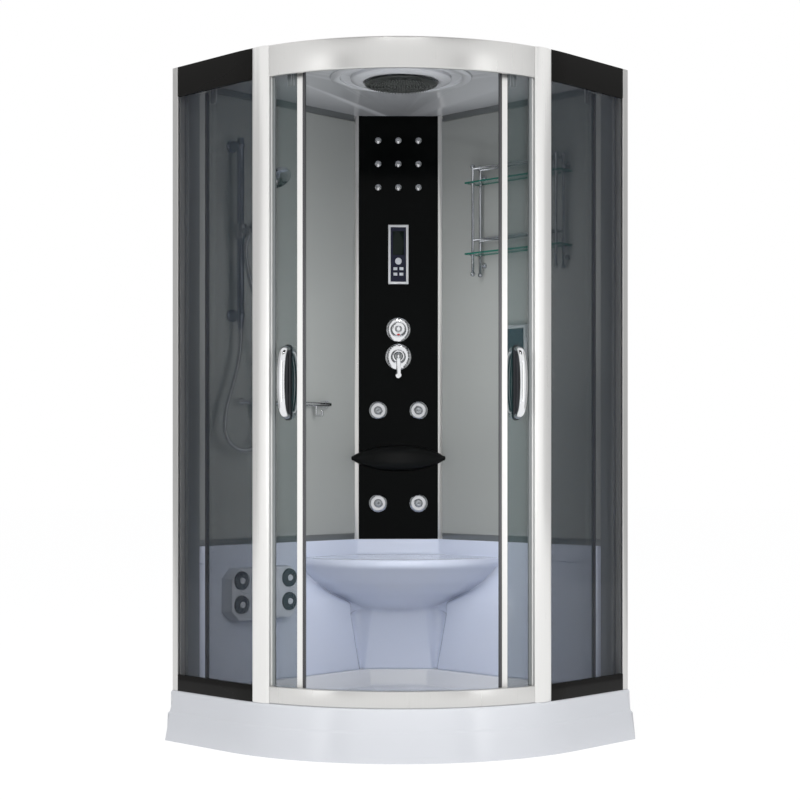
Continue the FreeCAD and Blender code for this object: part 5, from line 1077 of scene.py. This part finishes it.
for side, hand in (("left", -1), ("right", 1)):
    door = f"{side}_door"

    def door_bar(span, faces, ease, steps):
        """A bar along part of the door, from the floor guide to the head rail."""
        path = [(DOOR_AXIS, outward(angle, hand)) for angle in np.linspace(*span, steps)]
        return path, bar_section(*faces, DOOR_LOW, DOOR_HIGH, ease)

    pane = bent_bars(f"{door}_pane", [door_bar(GLASS_SPAN, GLASS_FACES, GLASS_EASE, PANE_STEPS)], door_glass)
    stands_for(pane, "door_glass", door, f"{door}_glass")
    stile_bars = [door_bar(STILE_SPAN, STILE_FACES, STILE_EASE, STILE_STEPS)]
    stile = bent_bars(f"{door}_stile", stile_bars, bright_satin)
    stands_for(stile, "satin_aluminium", door, f"{door}_edges")
    seal_bars = [door_bar(span, SEAL_FACES, SEAL_EASE, SEAL_STEPS) for span in (SEAL_SPAN, BRUSH_SPAN)]
    seals = bent_bars(f"{door}_seals", seal_bars, seal)
    stands_for(seals, "satin_aluminium", door)
    worked(f"{door}_carriers", trap_plastic, edge=0.0008, body=door)
    for roller in ("front", "rear"):
        worked(f"{side}_{roller}_roller", roller_nylon, edge=0.0006, body=f"{side}_{roller}_roller")

# Door handles: a chrome bow on each face of the glass, broad in the middle and drawn in at the ends, on a
# dark plate. Screws through the glass clamp the pair together.
handle_low, handle_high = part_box("left_door_handle")
HANDLE_MIDDLE = (handle_low.z + handle_high.z) / 2
HANDLE_HALF = (handle_high.z - handle_low.z) / 2
HANDLE_ANGLE = 29.6
PLATE_HALF_WIDTH = 0.012
COVER_HALF_WIDTH = 0.0094
GASKET_DEPTH = 0.0016
GASKET_EASE = 0.0004
GASKET_RINGS = ((0, 0), (0, GASKET_DEPTH - GASKET_EASE), (GASKET_EASE, GASKET_DEPTH))
COVER_RINGS = ((0, 0), (0, 0.0008), (0.0008, 0.0018), (0.0026, 0.0027), (0.0052, 0.0033), (0.0078, 0.0035))
BOW_END = 0.013
BOW_SINK = 0.0005
BOW_DEPTH = 0.036
BOW_HALF_WIDTHS = (0.0108, 0.0122)
BOW_HALF_DEPTHS = (0.0095, 0.0055)
BOW_SWEEP = 0.62
BOW_WAIST = 1.5
BOW_STEPS = 56
BOW_SIDES = 28
PLATE_END_STEPS = 17
dark_plate = finish("dark handle plate", (0.03, 0.032, 0.036), 0.16, metallic=0.7, grain=60, mottle=0.08)


def handle_bow(away, across, face):
    """Rings along one bow, which leaves the plate, sweeps out and comes back to it."""
    points = []
    turns = np.linspace(0, math.pi, BOW_STEPS)
    line = [face + away * (BOW_DEPTH * math.sin(t) ** BOW_SWEEP - BOW_SINK)
            + UP * (HANDLE_MIDDLE - (HANDLE_HALF - BOW_END) * math.cos(t)) for t in turns]
    for k, t in enumerate(turns):
        way = (line[min(k + 1, BOW_STEPS - 1)] - line[max(k - 1, 0)]).normalized()
        outer = across.cross(way).normalized()
        fullness = math.sin(t) ** BOW_WAIST
        wide, deep = (end + (middle - end) * fullness for end, middle in (BOW_HALF_WIDTHS, BOW_HALF_DEPTHS))
        for angle in np.linspace(0, 2 * math.pi, BOW_SIDES, endpoint=False):
            points.append(line[k] + across * (wide * math.cos(angle)) + outer * (deep * math.sin(angle)))
    return points, ring_faces(BOW_STEPS, BOW_SIDES)


def handle_plate(away, across, face, half_width, rings):
    """A plate with rounded ends, built up from insets and depths on one face of the glass."""
    straight = (HANDLE_HALF - PLATE_HALF_WIDTH) / half_width
    outline = [(end * math.cos(turn), end * (straight + math.sin(turn)))
               for end in (1, -1) for turn in np.linspace(0, math.pi, PLATE_END_STEPS)]
    points = []
    for inset, depth in rings:
        scale = half_width - inset
        points += [face + away * depth + across * (x * scale) + UP * (HANDLE_MIDDLE + y * scale)
                   for x, y in outline]
    return points, ring_faces(len(rings), len(outline))


for side, hand in (("left", -1), ("right", 1)):
    away = outward(HANDLE_ANGLE, hand)
    across = UP.cross(away)
    points, faces, dark_faces = [], [], []
    for direction, radius in ((away, GLASS_FACES[0]), (-away, GLASS_FACES[1])):
        face = Vector((DOOR_AXIS.x, DOOR_AXIS.y, 0)) + away * radius
        on_gasket = face + direction * GASKET_DEPTH
        shapes = [handle_bow(direction, across, on_gasket),
                  handle_plate(direction, across, face, PLATE_HALF_WIDTH, GASKET_RINGS),
                  handle_plate(direction, across, on_gasket, COVER_HALF_WIDTH, COVER_RINGS)]
        for number, (more, loops) in enumerate(shapes):
            dark_faces += [number > 0] * len(loops)
            faces += [tuple(len(points) + i for i in loop) for loop in loops]
            points += more
    handle = make_mesh(f"{side}_handle", points, faces, chrome, 45)
    handle.data.materials.append(dark_plate)
    for polygon, dark in zip(handle.data.polygons, dark_faces):
        polygon.material_index = 1 if dark else 0
    stands_for(handle, "chrome", f"{side}_door", f"{side}_door_handle")

# Corner shelf on the right wall: chrome rods with ball and ring ends carry two glass shelves whose edges show
# the green of thick glass.
shelf_chrome = finish("shelf chrome", (0.5, 0.52, 0.55), 0.08, metallic=1.0, grain=30, mottle=0.03)
worked("shelf_frame", shelf_chrome, angle=50)
shelf_face = finish("shelf glass", (0.25, 0.42, 0.38), 0.04, grain=10, mottle=0.05, alpha=0.25)
shelf_edge = finish("shelf glass edge", (0.005, 0.13, 0.095), 0.08, grain=30, mottle=0.15, alpha=0.95)
LEVEL = 0.7
shelf_glass = nodes["shelf_glasses"].data
shelf_glass.materials.clear()
for material in (shelf_face, shelf_edge):
    shelf_glass.materials.append(material)
for face in shelf_glass.polygons:
    face.material_index = 0 if abs(face.normal.z) > LEVEL else 1

# Hand shower on the left wall: a riser rail with a sliding holder that tilts, the handset in it, and the
# nozzles in its face.
# The riser rail's chrome is painted darker and bluer than the other chrome: a painted reflection of the dark cabin
# round it.
riser_chrome_painted_dark = finish("chrome with painted dark reflection", (0.3, 0.32, 0.38), 0.08, metallic=1.0, grain=30, mottle=0.03)
worked("riser_rail", riser_chrome_painted_dark, edge=0.0008, angle=50)
worked("slider_block", chromed_plastic, edge=0.001, body="slider")
worked("holder_cup", chromed_plastic, body="handset", angle=50)
worked("handset", chromed_plastic, edge=0.0008, body="handset", angle=50)
ways = {}
for face in nodes["handset"].data.polygons:
    ways.setdefault(tuple(round(part, 2) for part in face.normal), []).append(face)
spray = max(ways.values(), key=lambda faces: sum(face.area for face in faces))
spray_area = sum(face.area for face in spray)
spray_middle = sum((face.center * face.area for face in spray), Vector()) / spray_area
spray_way = spray[0].normal.to_track_quat("Z", "Y").to_matrix().to_4x4()
spray_nozzles = grown("spray_nozzles", nozzle_maker, {
    "Pins": 37, "Ring Pitch": 0.0078, "Pin Radius": 0.0018, "Pin Length": 0.003, "Pin Material": soft_nozzle,
}, Matrix.Translation(spray_middle) @ spray_way)
stands_for(spray_nozzles, "chromed_plastic", "handset")

# Hook rail on the left wall, soap box on the right wall, and the foot massager above the basin with its four
# ribbed wheels on white hubs.
worked("towel_rail", chrome, edge=0.0006, angle=50)
soap_frame = finish("bright frame", (0.74, 0.76, 0.79), 0.22, metallic=0.55, grain=60, mottle=0.03)
soap_window = finish("smoked window", (0.03, 0.04, 0.055), 0.12, grain=40, mottle=0.1)
SOAP_SPAN = (0.535, 0.638)
SOAP_BORDER = 0.0118
SOAP_WINDOW_LOW = 1.150
HUB_RADIUS = 0.0105


def in_soap_window(corner):
    along = (corner - CORNER).dot(ALONG_RIGHT)
    inside = SOAP_SPAN[0] + SOAP_BORDER < along < SOAP_SPAN[1] - SOAP_BORDER
    return inside and SOAP_WINDOW_LOW < corner.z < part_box("soap_box")[1].z - SOAP_BORDER


second_finish(worked("soap_box", soap_frame, edge=0.0012), soap_window, in_soap_window)
massager_shell = finish("massager shell", (0.62, 0.65, 0.72), 0.3, coat=0.2, grain=60, mottle=0.02)
worked("foot_massager", massager_shell, edge=0.0015)
wheel_dark = finish("wheel rubber", (0.035, 0.04, 0.055), 0.5, grain=150, mottle=0.1)
wheel_hub = finish("wheel hub", (0.7, 0.72, 0.78), 0.3, grain=60)
for number in range(1, 5):
    node = f"massage_wheel_{number}"
    low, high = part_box(node)
    hub = (low + high) / 2
    wheel = worked(node, wheel_dark, edge=0.0008, body=node)
    second_finish(wheel, wheel_hub, lambda c: math.hypot((c - hub).dot(ALONG_LEFT), c.z - hub.z) < HUB_RADIUS)
